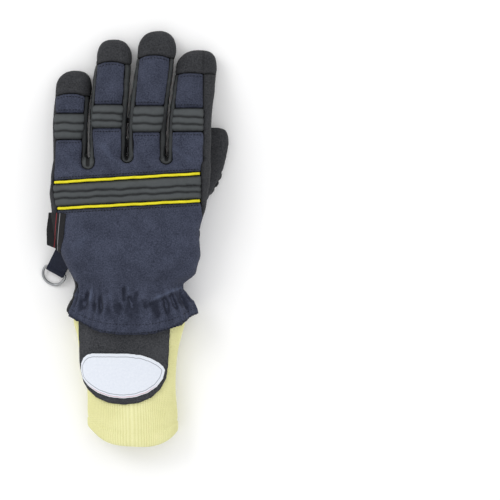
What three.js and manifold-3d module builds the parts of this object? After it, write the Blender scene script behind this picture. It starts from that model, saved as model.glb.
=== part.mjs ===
// A firefighter's glove for the left hand, lying palm down.
// Millimetres: +X towards the thumb side, +Y towards the fingertips, +Z up from the surface.
import * as THREE from 'three';
import { mergeVertices } from 'three/addons/utils/BufferGeometryUtils.js';
import Module from 'manifold-3d';

const wasm = await Module();
wasm.setup();

// Driving dimensions
const wall = 2.6;              // layered cloth of the glove
const gap = 0.3;               // between neighbouring pieces
const floorZ = 0;
const handSides = 30;          // points round the hand
const digitSides = 12;         // points round a finger
const hollowSides = 8;         // points round the hollow in a finger
const handRoundness = 2.7;     // superellipse exponent of the hand's section
const digitRoundness = 2.4;
const tipRoundness = 2.3;      // how square the fingertips are seen from above
const waistY = -36;            // elastic gather at the wrist
const hemY = -57;              // hem at the sides and on the palm
const hemDip = 17;             // the hem reaches this much further on the back
const hemSquareness = 2.6;
const gatherWidth = 7;
const ruffleWaves = 8;
const waveDrift = 1.3;         // the waves are a little wider here and narrower there
const waistRuffle = 0.7;
const hemRuffle = 1.7;
const handFront = 57;          // the hand's full section ends here
const frontRound = 7;          // rounding of the hand between the fingers
const frontSeam = 65.3;        // seam between the palm and the undersides of the fingers
const seamLip = 0.05;          // the palm's cloth at the thumb's seam
const finest = 0.004;          // shorter edges are merged
const sheetStep = 26;          // length of the flat stretches of a seam along the sides
const openEnd = 12;            // the hollow runs this far out of the gauntlet
const margin = 2;              // a region reaches this far past the cloth that it cuts
const farUp = 90;              // beyond every piece upwards
const farOut = 120;            // and sideways

// Each row is a section of the hand: y, left, right, middle height, half height, rise to the thumb side
const handRows = [
  [-57, -39.8, 62.3, 21.3, 21.8, 0],
  [-46, -35.5, 57.0, 20.3, 19.2, 0],
  [-36, -33.0, 50.5, 19.5, 16.8, 0],
  [-27, -36.5, 59.8, 21.0, 18.2, 0.01],
  [-12, -44.0, 64.0, 23.5, 18.5, 0.03],
  [6, -49.0, 64.0, 26.0, 17.5, 0.05],
  [25, -51.5, 68.5, 28.2, 15.5, 0.075],
  [43, -53.0, 71.0, 28.8, 13.4, 0.08],
  [57, -50.8, 72.2, 28.6, 12.6, 0.08],
];

// Each row is a section of a finger: y, left, right, middle height, half height.
// Seams are heights up the finger, strips the navy cloth's edges at the cap and at the pad,
// and the cap's seam rises by its arch in the middle.
const digits = {
  pinky: {
    rows: [[42, -49.5, -23.9, 24.0, 10.4], [93, -50.5, -23.0, 19.8, 10.4],
      [118.5, -49.0, -21.2, 9.8, 10.4]],
    tip: [-33.5, 133.0, 8.0],
    capSeam: 112, capArch: 2.2, padTop: 98.3, padFoot: 78,
    stripAtCap: [-48.0, -26.0], stripAtPad: [-47.3, -28.0],
  },
  ring: {
    rows: [[42, -21.5, 6.2, 27.0, 11.4], [93, -21.7, 7.6, 24.0, 11.4], [122, -20.0, 9.0, 16.2, 11.3],
      [142, -17.0, 10.6, 10.0, 10.8]],
    tip: [-4.0, 157.4, 8.5],
    capSeam: 137, capArch: 2.2, padTop: 105, padFoot: 86.6,
    stripAtCap: [-15.4, 5.0], stripAtPad: [-18.7, 2.6],
  },
  middle: {
    rows: [[42, 8.0, 37.2, 29.0, 11.6], [93, 8.7, 38.8, 26.0, 11.6], [128, 12.6, 42.3, 16.6, 11.5],
      [148, 15.2, 45.2, 10.2, 11.0]],
    tip: [31.5, 164.0, 8.5],
    capSeam: 141.8, capArch: 2.4, padTop: 104, padFoot: 83.5,
    stripAtCap: [17.4, 40.0], stripAtPad: [12.6, 33.2],
  },
  index: {
    rows: [[42, 39.0, 71.5, 32.0, 11.6], [93, 40.2, 73.0, 29.6, 11.6], [116, 42.6, 75.0, 19.4, 11.5],
      [134, 45.0, 77.0, 10.4, 11.2]],
    tip: [63.5, 149.0, 8.5],
    capSeam: 129.2, capArch: 0.9, padTop: 101.8, padFoot: 83.8,
    stripAtCap: [47.6, 66.5], stripAtPad: [43.6, 66.6],
  },
  thumb: {
    rows: [[-14, 26.0, 58.0, 13.0, 11.0], [30, 38.0, 69.0, 9.4, 9.9], [45, 45.5, 78.2, 9.0, 9.4],
      [60, 51.0, 83.4, 8.8, 9.2], [75, 55.5, 86.4, 8.6, 9.2]],
    tip: [75.0, 88.6, 8.0],
  },
};
const fingerNames = ['pinky', 'ring', 'middle', 'index'];

// Crotch strips between neighbouring fingers: middle, half width, lowest point
const crotches = [
  { name: 'fourchette_pinky_ring', fingers: ['pinky', 'ring'], x: -22.4, foot: 54.8 },
  { name: 'fourchette_ring_middle', fingers: ['ring', 'middle'], x: 8.0, foot: 59.6 },
  { name: 'fourchette_middle_index', fingers: ['middle', 'index'], x: 38.2, foot: 58.6 },
];
const crotchHalf = 4.9;
const slitHalf = 0.5;          // half of the slit between two fingers
const fourchetteDrop = 0.45;   // share of a finger's half height below its middle

// Knuckle guard: piping lines as y at the pinky side and at the index side
const guardLeft = -49.0;       // at the upper piping
const guardLeftLow = -46.3;    // at the lower piping
const guardRight = 64.6;
const pipingHigh = [44.5, 51.2];
const pipingLow = [24.2, 30.2];
const pipingRadius = 1.0;
const guardRib = 1.3;
const padRib = 1.0;
const ribCount = 3;

const colours = {
  navy: 0x3e4458, knit: 0x343638, leather: 0x4c4f51, yellow: 0xeee634, rib: 0xe8e8aa,
  label: 0xe8ecf4, tape: 0x2a2a2c, webbing: 0x2c3248, steel: 0xb9bcc0,
};

function material(colour, roughness = 0.9, metalness = 0) {
  return new THREE.MeshStandardMaterial({ color: colour, roughness, metalness });
}

// Smooth value of one column of a table at y, by cubic pieces through the rows
function column(rows, index, y) {
  const first = rows[0];
  const last = rows[rows.length - 1];
  if (y <= first[0]) return first[index];
  if (y >= last[0]) return last[index];
  const k = rows.findIndex((row) => row[0] > y) - 1;
  const slope = (i) => {
    const a = rows[Math.max(i - 1, 0)];
    const b = rows[Math.min(i + 1, rows.length - 1)];
    return (b[index] - a[index]) / (b[0] - a[0]);
  };
  const span = rows[k + 1][0] - rows[k][0];
  const t = (y - rows[k][0]) / span;
  const rise = rows[k + 1][index] - rows[k][index];
  const bend = span * (slope(k) * (1 - t) - slope(k + 1) * t) - rise * (1 - 2 * t);
  return rows[k][index] + rise * t + t * (1 - t) * bend;
}

// Point of a superellipse with half width 1 and half height 1
function roundPoint(angle, roundness) {
  const c = Math.cos(angle);
  const s = Math.sin(angle);
  const power = 2 / roundness;
  return [Math.sign(c) * Math.abs(c) ** power, Math.sign(s) * Math.abs(s) ** power];
}

// A closed solid from triangles
function solidOf(points, triangles) {
  const mesh = new wasm.Mesh({
    numProp: 3,
    vertProperties: new Float32Array(points.flat()),
    triVerts: new Uint32Array(triangles.flat()),
  });
  return new wasm.Manifold(mesh);
}

// Rings of equal length joined in order, with both ends closed by fans
function loft(rings) {
  const sides = rings[0].length;
  const points = rings.flat();
  const triangles = [];
  for (let r = 0; r < rings.length - 1; r += 1) {
    for (let i = 0; i < sides; i += 1) {
      const a = r * sides + i;
      const b = r * sides + (i + 1) % sides;
      triangles.push([a, b, b + sides], [a, b + sides, a + sides]);
    }
  }
  [0, rings.length - 1].forEach((r) => {
    const middle = [0, 1, 2].map((k) => rings[r].reduce((sum, p) => sum + p[k], 0) / sides);
    const centre = points.push(middle) - 1;
    for (let i = 0; i < sides; i += 1) {
      const a = r * sides + i;
      const b = r * sides + (i + 1) % sides;
      triangles.push(r === 0 ? [centre, b, a] : [centre, a, b]);
    }
  });
  return turnedOut(points, triangles);
}

// A tube with a wall: outer rings one way and inner rings back, joined end to end
function sleeve(outer, inner) {
  const loop = [...outer, ...[...inner].reverse()];
  const sides = outer[0].length;
  const points = loop.flat();
  const triangles = [];
  loop.forEach((ring, r) => {
    const next = (r + 1) % loop.length;
    for (let i = 0; i < sides; i += 1) {
      const j = (i + 1) % sides;
      const [a, b] = [r * sides + i, r * sides + j];
      const [c, d] = [next * sides + i, next * sides + j];
      triangles.push([a, b, d], [a, d, c]);
    }
  });
  return turnedOut(points, triangles);
}

// The same solid with its triangles facing outwards
function turnedOut(points, triangles) {
  let volume = 0;
  triangles.forEach(([a, b, c]) => {
    const [p, q, r] = [points[a], points[b], points[c]];
    volume += p[0] * (q[1] * r[2] - q[2] * r[1]) + p[1] * (q[2] * r[0] - q[0] * r[2])
      + p[2] * (q[0] * r[1] - q[1] * r[0]);
  });
  const faces = volume < 0 ? triangles.map(([a, b, c]) => [a, c, b]) : triangles;
  return solidOf(points, faces);
}

// An upright prism over a plan outline
function prism(outline, low = -farOut, high = farUp) {
  const shape = new THREE.Shape(outline.map(([x, y]) => new THREE.Vector2(x, y)));
  const extruded = new THREE.ExtrudeGeometry(shape, { depth: high - low, bevelEnabled: false });
  return fromGeometry(extruded.translate(0, 0, low));
}

function fromGeometry(geometry) {
  const bare = geometry.clone();
  bare.deleteAttribute('normal');
  bare.deleteAttribute('uv');
  const merged = mergeVertices(bare, 1e-4);
  const index = merged.index.array;
  return new wasm.Manifold(new wasm.Mesh({
    numProp: 3,
    vertProperties: new Float32Array(merged.attributes.position.array),
    triVerts: new Uint32Array(index),
  }));
}

function rectangle(left, right, low, high) {
  return [[left, low], [right, low], [right, high], [left, high]];
}

function mix(a, b, t) {
  return a + (b - a) * t;
}

function smooth(t) {
  const s = Math.min(Math.max(t, 0), 1);
  return s * s * (3 - 2 * s);
}

// The hand

// How far the hem reaches at an angle round the gauntlet
function hemReach(angle) {
  const [across, up] = roundPoint(angle, handRoundness);
  const dip = up > 0 ? hemDip * (1 - Math.abs(across) ** hemSquareness) : 0;
  return hemY - dip;
}

function ruffle(angle, y) {
  const wave = Math.sin(ruffleWaves * angle + waveDrift * Math.sin(2 * angle));
  const atWaist = Math.exp(-(((y - waistY) / gatherWidth) ** 2)) * waistRuffle;
  const atHem = smooth((waistY - y) / (waistY - hemY)) * hemRuffle;
  return wave * (atWaist + atHem);
}

// One ring round the hand at height y of the table, grown outwards
function handRing(y, grow, options = {}) {
  const { shrink = 0, floor = floorZ, place = null, past = 0, sides = handSides } = options;
  const row = [1, 2, 3, 4, 5].map((k) => column(handRows, k, y));
  const [left, right, middleZ, halfHeight, rise] = row;
  const middleX = (left + right) / 2;
  const ring = [];
  for (let i = 0; i < sides; i += 1) {
    const angle = (i / sides) * 2 * Math.PI;
    const [c, s] = roundPoint(angle, handRoundness);
    const out = grow - shrink + ruffle(angle, y);
    const x = middleX + c * ((right - left) / 2 + out);
    const z = middleZ + rise * (x - middleX) + s * (halfHeight + out);
    let ringY = y;
    if (y < waistY) ringY = waistY + ((y - waistY) * (hemReach(angle) - waistY)) / (hemY - waistY);
    if (place) ringY = place(x);
    ring.push([x, ringY - past, Math.max(z, floor)]);
  }
  return ring;
}

const handStations = [-57, -50, -43, -36, -28, -12, 8, 31, handFront];
const hollowStations = [-57, -46, -36, -28, -4, 25, handFront];

const frontTurns = [45, 80];

// The hand and the gauntlet as one closed body, grown outwards
function handBody(grow, floor) {
  const stations = grow < 0 ? hollowStations : handStations;
  const rings = stations.map((y) => handRing(y, grow, { floor }));
  if (grow < 0) rings.unshift(handRing(hemY, grow, { floor, past: openEnd }));
  frontTurns.forEach((degrees) => {
    const turn = (degrees * Math.PI) / 180;
    const ring = handRing(handFront, grow, { floor, shrink: frontRound * (1 - Math.cos(turn)) });
    const reach = (frontRound + Math.min(grow, 0)) * Math.sin(turn);
    rings.push(ring.map(([x, , z]) => [x, handFront + reach, z]));
  });
  return loft(rings);
}

// The fingers and the thumb

function digitAt(digit, y) {
  const [left, right, middleZ, halfHeight] = [1, 2, 3, 4].map((k) => column(digit.rows, k, y));
  return { left, right, middleZ, halfHeight };
}

function digitRing(digit, y, grow, floor, sides = digitSides) {
  const shoulder = digit.rows[digit.rows.length - 1][0];
  const [tipX, tipY, tipZ] = digit.tip;
  const length = tipY + grow - shoulder;
  const t = Math.min(Math.max((y - shoulder) / length, 0), 1);
  const { left, right, middleZ, halfHeight } = digitAt(digit, y);
  const share = (1 - t ** tipRoundness) ** (1 / tipRoundness);
  const middleX = mix((left + right) / 2, tipX, t * t);
  const centreZ = mix(middleZ, tipZ, t * t);
  const ring = [];
  for (let i = 0; i < sides; i += 1) {
    const [c, s] = roundPoint((i / sides) * 2 * Math.PI, digitRoundness);
    const x = middleX + c * ((right - left) / 2 + grow) * share;
    const z = centreZ + s * (halfHeight + grow) * share;
    ring.push([x, y, Math.max(z, floor)]);
  }
  return ring;
}

const digitSteps = 4;
const tipShares = [0.5, 0.82, 0.98];

function digitStations(digit, grow) {
  const first = digit.rows[0][0];
  const shoulder = digit.rows[digit.rows.length - 1][0];
  const length = digit.tip[1] + grow - shoulder;
  const stations = [];
  for (let k = 0; k <= digitSteps; k += 1) stations.push(mix(first, shoulder, k / digitSteps));
  tipShares.forEach((share) => stations.push(shoulder + length * share));
  return stations;
}

function digitBody(digit, grow, floor) {
  const sides = grow < 0 ? hollowSides : digitSides;
  return loft(digitStations(digit, grow).map((y) => digitRing(digit, y, grow, floor, sides)));
}

function glove(grow, floor) {
  const parts = Object.values(digits).map((digit) => digitBody(digit, grow, floor));
  return wasm.Manifold.union([handBody(grow, floor), ...parts]);
}

const outerGlove = glove(0, floorZ);
const hollow = glove(-wall, wall);
const shell = outerGlove.subtract(hollow);

// Regions that cut the shell into panels

// Everything above a sheet that follows height(y, x)
function above(height, yLow, yHigh, xLow = -farOut, xHigh = farOut) {
  const rings = [];
  const steps = Math.max(Math.round((yHigh - yLow) / sheetStep), 1);
  for (let k = 0; k <= steps; k += 1) {
    const y = mix(yLow, yHigh, k / steps);
    const low = [[xLow, y, height(y, xLow)], [xHigh, y, height(y, xHigh)]];
    rings.push([...low, [xHigh, y, farUp], [xLow, y, farUp]]);
  }
  return loft(rings);
}

const fingerSlope = 0.07;

// Height of the seam round the hand, half way up its side
function handMiddle(y, x) {
  const [left, right, middleZ, , rise] = [1, 2, 3, 4, 5].map((k) => column(handRows, k, y));
  const fingersFall = Math.max(y - handFront, 0) * fingerSlope;
  return middleZ + rise * (x - (left + right) / 2) - fingersFall;
}

const tipMargin = 0.5;

// Height of a finger's side seam at y, lowered by a share of its half height
function digitMiddle(digit, drop = 0) {
  return (y) => {
    const ring = digitRing(digit, Math.min(y, digit.tip[1] - tipMargin), 0, -farOut);
    const zs = ring.map((p) => p[2]);
    const top = Math.max(...zs);
    const bottom = Math.min(...zs);
    return (top + bottom) / 2 - (drop * (top - bottom)) / 2;
  };
}

const seamDrop = 0.1;          // a grown strip reaches lower down the finger's sides
const archSteps = 4;

// Edges of the navy strip on a finger at y
function stripEdge(digit, side, y) {
  const t = Math.min(Math.max((y - digit.padFoot) / (digit.capSeam - digit.padFoot), 0), 1);
  return mix(digit.stripAtPad[side], digit.stripAtCap[side], t);
}

// The inner points of an arched seam from left to right
function archPoints(left, right, y, rise) {
  const steps = rise > 0 ? archSteps : 1;
  const points = [];
  for (let k = 1; k < steps; k += 1) {
    const t = k / steps;
    points.push([mix(left, right, t), y + rise * 4 * t * (1 - t)]);
  }
  return points;
}

function stripOutline(digit, low, high, grow, rise = 0) {
  const left = (y) => stripEdge(digit, 0, y) - grow;
  const right = (y) => stripEdge(digit, 1, y) + grow;
  const arch = archPoints(left(high), right(high), high, rise).reverse();
  return [[left(low), low], [right(low), low], [right(high), high], ...arch, [left(high), high]];
}

function stripRegion(digit, low, high, grow, rise = 0) {
  const half = gap / 2 - grow;
  const plan = prism(stripOutline(digit, low + half, high - half, grow, rise));
  return plan.intersect(above(digitMiddle(digit, grow * seamDrop), low - margin, high + 2 * margin));
}

function capRegion(digit, grow) {
  const low = digit.capSeam + gap / 2 - grow;
  const height = digitMiddle(digit);
  const stations = [low, mix(low, digit.tip[1], 0.5), digit.tip[1] + margin];
  const left = stations.map((y) => [digitAt(digit, y).left - slitHalf, y]);
  const right = stations.map((y) => [digitAt(digit, y).right + slitHalf, y]);
  const [from, to] = [0, 1].map((side) => stripEdge(digit, side, low));
  const seam = [[from, low], ...archPoints(from, to, low, digit.capArch), [to, low]];
  const upper = above((y) => height(y) - grow, low - margin, digit.tip[1] + 2 * margin);
  return prism([...seam, ...right, ...left.reverse()]).intersect(upper);
}

const footSteps = 5;
const footWiden = 6;           // the strip reaches the fingers' full gap this far above its foot
const slitFoot = 4;            // the two halves part this far above it
const halvesOverlap = 0.01;

// Plan of a crotch strip, from its round foot up between the two fingers
function crotchPlan(crotch, side, grow) {
  const digit = digits[crotch.fingers[side]];
  const half = crotchHalf + grow;
  const outline = [];
  const turn = side === 0 ? -1 : 1;
  for (let k = 0; k <= footSteps; k += 1) {
    const angle = (k / footSteps) * (Math.PI / 2);
    const y = crotch.foot + crotchHalf - half * Math.cos(angle);
    outline.push([crotch.x + turn * half * Math.sin(angle), y]);
  }
  const top = digit.capSeam - gap / 2 + grow;
  [digit.padFoot, top].forEach((y) => {
    outline.push([stripEdge(digit, 1 - side, y) - turn * (gap - grow), y]);
  });
  [top, mix(digit.padFoot, top, 0.5), digit.padFoot, crotch.foot + footWiden].forEach((y) => {
    const { left, right } = digitAt(digit, y);
    outline.push([side === 0 ? right + slitHalf : left - slitHalf, y]);
  });
  outline.push([crotch.x, crotch.foot + slitFoot]);
  return side === 0 ? outline.reverse() : outline;
}

function crotchRegion(crotch, grow) {
  const halves = [0, 1].map((side) => {
    const digit = digits[crotch.fingers[side]];
    const height = digitMiddle(digit, fourchetteDrop);
    const slack = side === 0 ? halvesOverlap : 0;
    const plan = crotchPlan(crotch, side, grow).map(([x, y]) => [x === crotch.x ? x + slack : x, y]);
    const upper = above((y) => height(y) - grow, crotch.foot - slitFoot, digit.capSeam + margin);
    return prism(plan).intersect(upper);
  });
  return halves[0].add(halves[1]);
}

function lineAt([atLeft, atRight], x) {
  return mix(atLeft, atRight, (x - guardLeft) / (guardRight - guardLeft));
}

const guardSpan = [10, 62];

function guardLeftAt(y) {
  return mix(guardLeftLow, guardLeft, (y - pipingLow[0]) / (pipingHigh[0] - pipingLow[0]));
}

// A band across the back of the hand between two lines
function bandRegion(low, high, grow) {
  const [fromY, toY] = [lineAt(low, guardLeft) - grow, lineAt(high, guardLeft) + grow];
  const outline = [
    [guardLeftAt(fromY) - grow, fromY], [guardRight + grow, lineAt(low, guardRight) - grow],
    [guardRight + grow, lineAt(high, guardRight) + grow], [guardLeftAt(toY) - grow, toY],
  ];
  return prism(outline).intersect(above((y, x) => handMiddle(y, x) - grow, ...guardSpan));
}

function shifted([a, b], by) {
  return [a + by, b + by];
}

const slot = pipingRadius + gap;
const rootY = 64;              // the upper back divides into its finger strips here
const stripStart = 60;
const upperSpan = [30, 92];

// The back from the guard up to the four finger pads, round the crotch strips
function upperBackRegion(grow) {
  const low = shifted(pipingHigh, slot);
  const palm = prism([
    [guardLeft - grow, lineAt(low, guardLeft) - grow], [guardRight + grow, lineAt(low, guardRight) - grow],
    [guardRight + sideStep + grow, rootY], [stripEdge(digits.pinky, 0, rootY) - grow, rootY],
  ]);
  const strips = fingerNames.map((name) => {
    const digit = digits[name];
    return prism(stripOutline(digit, stripStart, digit.padFoot - gap / 2 + grow, grow));
  });
  const sides = crotches.flatMap((crotch) => [0, 1].map((side) => crotchPlan(crotch, side, gap - grow)));
  const crotchCuts = wasm.Manifold.union(sides.map((plan) => prism(plan)));
  const plan = wasm.Manifold.union([palm, ...strips]).subtract(crotchCuts);
  return plan.intersect(above((y, x) => handMiddle(y, x) - grow, ...upperSpan));
}

const belowHem = -90;          // past the lowest point of the hem

// Lower back: from the guard to the hem, round the thumb side below the black side strip
const lowerBackEdge = [
  [-42, belowHem], [-42, -56], [-35, -36], [-38.5, -25], [-42.6, -12], [-45.8, 6], [-46.4, 18],
];
const wrapStart = 10;          // upper end of the navy cloth at the thumb side
const wrapRise = 4;
const sideStep = 1;            // the back's seam lies this far outside the guard's end
const seamSpan = [-92, 40];

function lowerBackRegion(grow) {
  const high = shifted(pipingLow, -slot);
  const outline = [
    ...lowerBackEdge.map(([x, y]) => [x - grow, y]),
    [guardLeftLow - grow, lineAt(high, guardLeft) + grow],
    [guardRight + grow, lineAt(high, guardRight) + grow],
    [guardRight + sideStep + grow, wrapStart + wrapRise + grow],
    [farOut, wrapStart + grow], [farOut, belowHem],
  ];
  const upper = above((y, x) => handMiddle(y, x) + gap / 2 - grow, ...seamSpan);
  return prism(outline.reverse()).intersect(upper);
}

// Palm side of the thumb: navy base, ribbed pad and black tip, all on the half that faces down
const palmSeam = [[19, belowHem], [16, -57], [13.5, -36], [17, -14], [27, 2], [33, 8]];
const thumbSeamTop = 8;
const thumbRoot = 4;
const thumbPadLow = [31, 38];
const thumbPadHigh = [45.5, 56];
const thumbSides = [32, 96];
const thumbTipEnd = [100, 100];
const thumbSpan = [0, 110];
const thumbSeamStart = 10;

function thumbLine([atLeft, atRight], x) {
  return mix(atLeft, atRight, (x - thumbSides[0]) / (thumbSides[1] - thumbSides[0]));
}

function below(height, yLow, yHigh) {
  const band = prism(rectangle(-farOut, farOut, yLow, yHigh));
  return band.subtract(above(height, yLow - margin, yHigh + margin));
}

function thumbMiddle(y) {
  return digitMiddle(digits.thumb)(Math.max(y, thumbSeamStart));
}

function thumbBaseRegion(grow) {
  const hand = prism([
    ...palmSeam.map(([x, y]) => [x - grow, y]), [farOut, thumbSeamTop], [farOut, belowHem],
  ].reverse()).subtract(above((y, x) => handMiddle(y, x) - gap / 2 + grow, ...seamSpan));
  const low = shifted(thumbPadLow, -gap / 2 + grow);
  const digit = prism([
    [thumbSides[0], thumbRoot], [thumbSides[1], thumbRoot],
    [thumbSides[1], thumbLine(low, thumbSides[1])], [thumbSides[0], thumbLine(low, thumbSides[0])],
  ]).intersect(below((y) => thumbMiddle(y) + grow, ...thumbSpan));
  return hand.add(digit);
}

function thumbBandRegion(low, high, grow) {
  const from = shifted(low, gap / 2 - grow);
  const to = shifted(high, -gap / 2 + grow);
  return prism([
    [thumbSides[0], thumbLine(from, thumbSides[0])], [thumbSides[1], thumbLine(from, thumbSides[1])],
    [thumbSides[1], thumbLine(to, thumbSides[1])], [thumbSides[0], thumbLine(to, thumbSides[0])],
  ]).intersect(below((y) => thumbMiddle(y) + grow, ...thumbSpan));
}

const padLift = 0.25;          // the leather lies this much higher than the cloth beside it
const ribPower = 0.7;

// Ribs across a pad or the guard: height above the cloth at share t of its width
function ribHeight(t, height) {
  return padLift + height * Math.abs(Math.sin(ribCount * Math.PI * t)) ** ribPower;
}

const guardShares = [0, 0.12, 0.22, 1 / 3, 0.45, 0.55, 2 / 3, 0.78, 0.88, 1];
const padShares = [0, 1 / 6, 1 / 3, 1 / 2, 2 / 3, 5 / 6, 1];

const guardMiddle = 8;

// A ring loft round the hand whose stations lie between two lines across the back
function handBand(low, high, heights) {
  const shares = heights.map(([share]) => share);
  const rings = shares.map((share, k) => {
    const nominal = mix(lineAt(low, guardMiddle), lineAt(high, guardMiddle), share);
    const place = (x) => mix(lineAt(low, x), lineAt(high, x), share);
    return handRing(nominal, heights[k][1], { place });
  });
  return loft(rings);
}

function guardPiece() {
  const low = shifted(pipingLow, slot);
  const high = shifted(pipingHigh, -slot);
  const outer = handBand(low, high, guardShares.map((t) => [t, ribHeight(t, guardRib)]));
  return outer.subtract(hollow).intersect(bandRegion(low, high, 0));
}

// Piping: share of its width, height above the cloth
const pipingProfile = [[0, 0.4], [0.5, 1.3], [1, 0.4]];

function pipingPiece(line) {
  const low = shifted(line, -pipingRadius);
  const high = shifted(line, pipingRadius);
  return handBand(low, high, pipingProfile).subtract(hollow).intersect(bandRegion(low, high, 0));
}

function padPiece(digit) {
  const rings = padShares.map((t) => {
    return digitRing(digit, mix(digit.padFoot, digit.padTop, t), ribHeight(t, padRib), floorZ);
  });
  return loft(rings).subtract(hollow).intersect(stripRegion(digit, digit.padFoot, digit.padTop, 0));
}

const thumbMiddleX = 66;

// Thumb pad: the ribs start level with the cloth, because they face the surface
function thumbPadPiece() {
  const from = shifted(thumbPadLow, gap / 2);
  const to = shifted(thumbPadHigh, -gap / 2);
  const rings = padShares.map((t) => {
    const middle = mix(thumbLine(from, thumbMiddleX), thumbLine(to, thumbMiddleX), t);
    const ring = digitRing(digits.thumb, middle, ribHeight(t, padRib) - padLift, floorZ);
    return ring.map(([x, , z]) => [x, mix(thumbLine(from, x), thumbLine(to, x), t), z]);
  });
  return loft(rings).subtract(hollow).intersect(thumbBandRegion(thumbPadLow, thumbPadHigh, 0));
}

// Knitted wristlet: y, left, right, bottom, top of each section
const cuffRows = [
  [-161, -23.0, 46.6, 0, 29.0],
  [-140, -23.6, 46.4, 0, 29.5],
  [-115, -24.4, 44.6, 0, 30.0],
  [-98, -28.6, 45.0, 0, 31.0],
  [-86, -30.6, 46.4, 0.8, 31.6],
  [-74, -32.0, 49.6, 3.0, 32.6],
  [-62, -34.6, 52.5, 6.0, 32.8],
  [-50, -31.0, 50.0, 7.6, 31.5],
  [-40, -28.4, 45.4, 8.0, 30.5],
];
const cuffSides = 20;
const cuffWall = 2.6;
const cuffRoundness = 2.5;
const cuffBow = 13;            // the middle of the open end reaches further than its sides
const bowStart = -120;
const bowRun = 41;
const bowSharpness = 3.2;
const cuffSkew = 1.8;          // the open end slopes down to the thumb side
const tabEndY = -128;          // both wrist tabs end here
const tabThickness = 1.8;
const loopThickness = 1.2;
const labelThickness = 1.0;
const tabSides = [-8.5, 40];
const tabLift = tabThickness + loopThickness + 2 * gap;

const liftReach = 7;           // the wristlet starts to rise this far beside the tab
const liftRun = 6;

// Lowest height of the wristlet over the palm tab and the pull loop
function cuffFloor(x) {
  const fromLeft = smooth((x - tabSides[0] + liftReach) / liftRun);
  const fromRight = smooth((tabSides[1] + liftReach - x) / liftRun);
  return tabLift * fromLeft * fromRight;
}

function cuffRing(y, grow, floorLift = 0) {
  const [left, right, bottom, top] = [1, 2, 3, 4].map((k) => column(cuffRows, k, y));
  const middleX = (left + right) / 2;
  const middleZ = (bottom + top) / 2;
  const ring = [];
  for (let i = 0; i < cuffSides; i += 1) {
    const [c, s] = roundPoint((i / cuffSides) * 2 * Math.PI, cuffRoundness);
    const x = middleX + c * ((right - left) / 2 + grow);
    const z = middleZ + s * ((top - bottom) / 2 + grow);
    const bow = cuffBow * Math.abs(c) ** bowSharpness - cuffSkew * c;
    ring.push([x, y + bow * smooth((bowStart - y) / bowRun), Math.max(z, cuffFloor(x) + floorLift)]);
  }
  return ring;
}

const cuffStations = [-161, -149, -132, -108, -88, -72, -60, -40];

function wristletPiece() {
  const outer = cuffStations.map((y) => cuffRing(y, 0));
  const inner = cuffStations.map((y) => cuffRing(y, -cuffWall, cuffWall));
  return sleeve(outer, inner);
}

const cuffMiddle = 17;         // height of the wristlet's side folds

// A skin lying on the wristlet's upper side, cut to a plan outline
function cuffSkin(from, to, outline) {
  const stations = cuffStations.slice(1);
  const layer = (grow) => loft(stations.map((y) => cuffRing(y, grow)));
  const skin = layer(to).subtract(layer(from));
  return skin.intersect(prism(outline, cuffMiddle, farUp));
}

const tongueSteps = 10;

// Plan outline of a tongue with straight sides and a round end
function tongueOutline(topY, sideY, endY, left, right, leftLow, rightLow, squareness) {
  const outline = [[left, topY], [leftLow, sideY]];
  const middle = (leftLow + rightLow) / 2;
  for (let k = 1; k < tongueSteps; k += 1) {
    const [c, s] = roundPoint(Math.PI + (k / tongueSteps) * Math.PI, squareness);
    outline.push([middle + (c * (rightLow - leftLow)) / 2, sideY + s * (sideY - endY)]);
  }
  outline.push([rightLow, sideY], [right, topY]);
  return outline;
}

function backTabPiece() {
  const outline = tongueOutline(-57, -97, tabEndY, -30.4, 41.6, -29.6, 39.4, 2.2);
  return cuffSkin(gap, gap + tabThickness, outline);
}

// Upper edge of the label: straight at the left, falling to the right
const labelTop = [
  [35.6, -98], [32.1, -95], [25.7, -91.5], [18.6, -89.2], [8.7, -88.1], [-19, -87.8],
  [-23.4, -89.0], [-26.4, -91.4],
];

function ovalOutline() {
  const round = tongueOutline(-95.4, -101, -123, -28.2, 37, -28.7, 37, 2.0);
  return [...round.slice(0, -1), ...labelTop];
}

function ovalPiece() {
  const rise = 2 * gap + tabThickness;
  return cuffSkin(rise, rise + labelThickness, ovalOutline());
}

// A flat strip along a path of [x, y, bottom height], with its width per point
function strip(path, thickness) {
  const rings = path.map(([x, y, z, width], k) => {
    const before = path[Math.max(k - 1, 0)];
    const after = path[Math.min(k + 1, path.length - 1)];
    const along = new THREE.Vector2(after[0] - before[0], after[1] - before[1]).normalize();
    const [sideX, sideY] = [(-along.y * width) / 2, (along.x * width) / 2];
    return [
      [x - sideX, y - sideY, z], [x + sideX, y + sideY, z],
      [x + sideX, y + sideY, z + thickness], [x - sideX, y - sideY, z + thickness],
    ];
  });
  return loft(rings);
}

// The palm tab comes down from inside the cuff: y, height of its underside
const palmTabRun = [[-55, 4.8], [-58, 4.5], [-63, 2.8], [-70, 0.8], [-76, 0], [-114, 0]];
const palmTabRound = -114;
const endSteps = 5;
const lastTurn = 0.4;          // the rounding stops this part of a step before the tab's middle
const tabRounding = 0.7;

function palmTabPiece() {
  const middle = (tabSides[0] + tabSides[1]) / 2;
  const width = tabSides[1] - tabSides[0];
  const path = palmTabRun.map(([y, z]) => [middle, y, z, width]);
  for (let k = 1; k <= endSteps; k += 1) {
    const angle = (k / (endSteps + lastTurn)) * (Math.PI / 2);
    const y = mix(palmTabRound, tabEndY, Math.sin(angle));
    path.push([middle, y, 0, width * Math.cos(angle) ** tabRounding]);
  }
  return strip(path, tabThickness);
}

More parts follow.
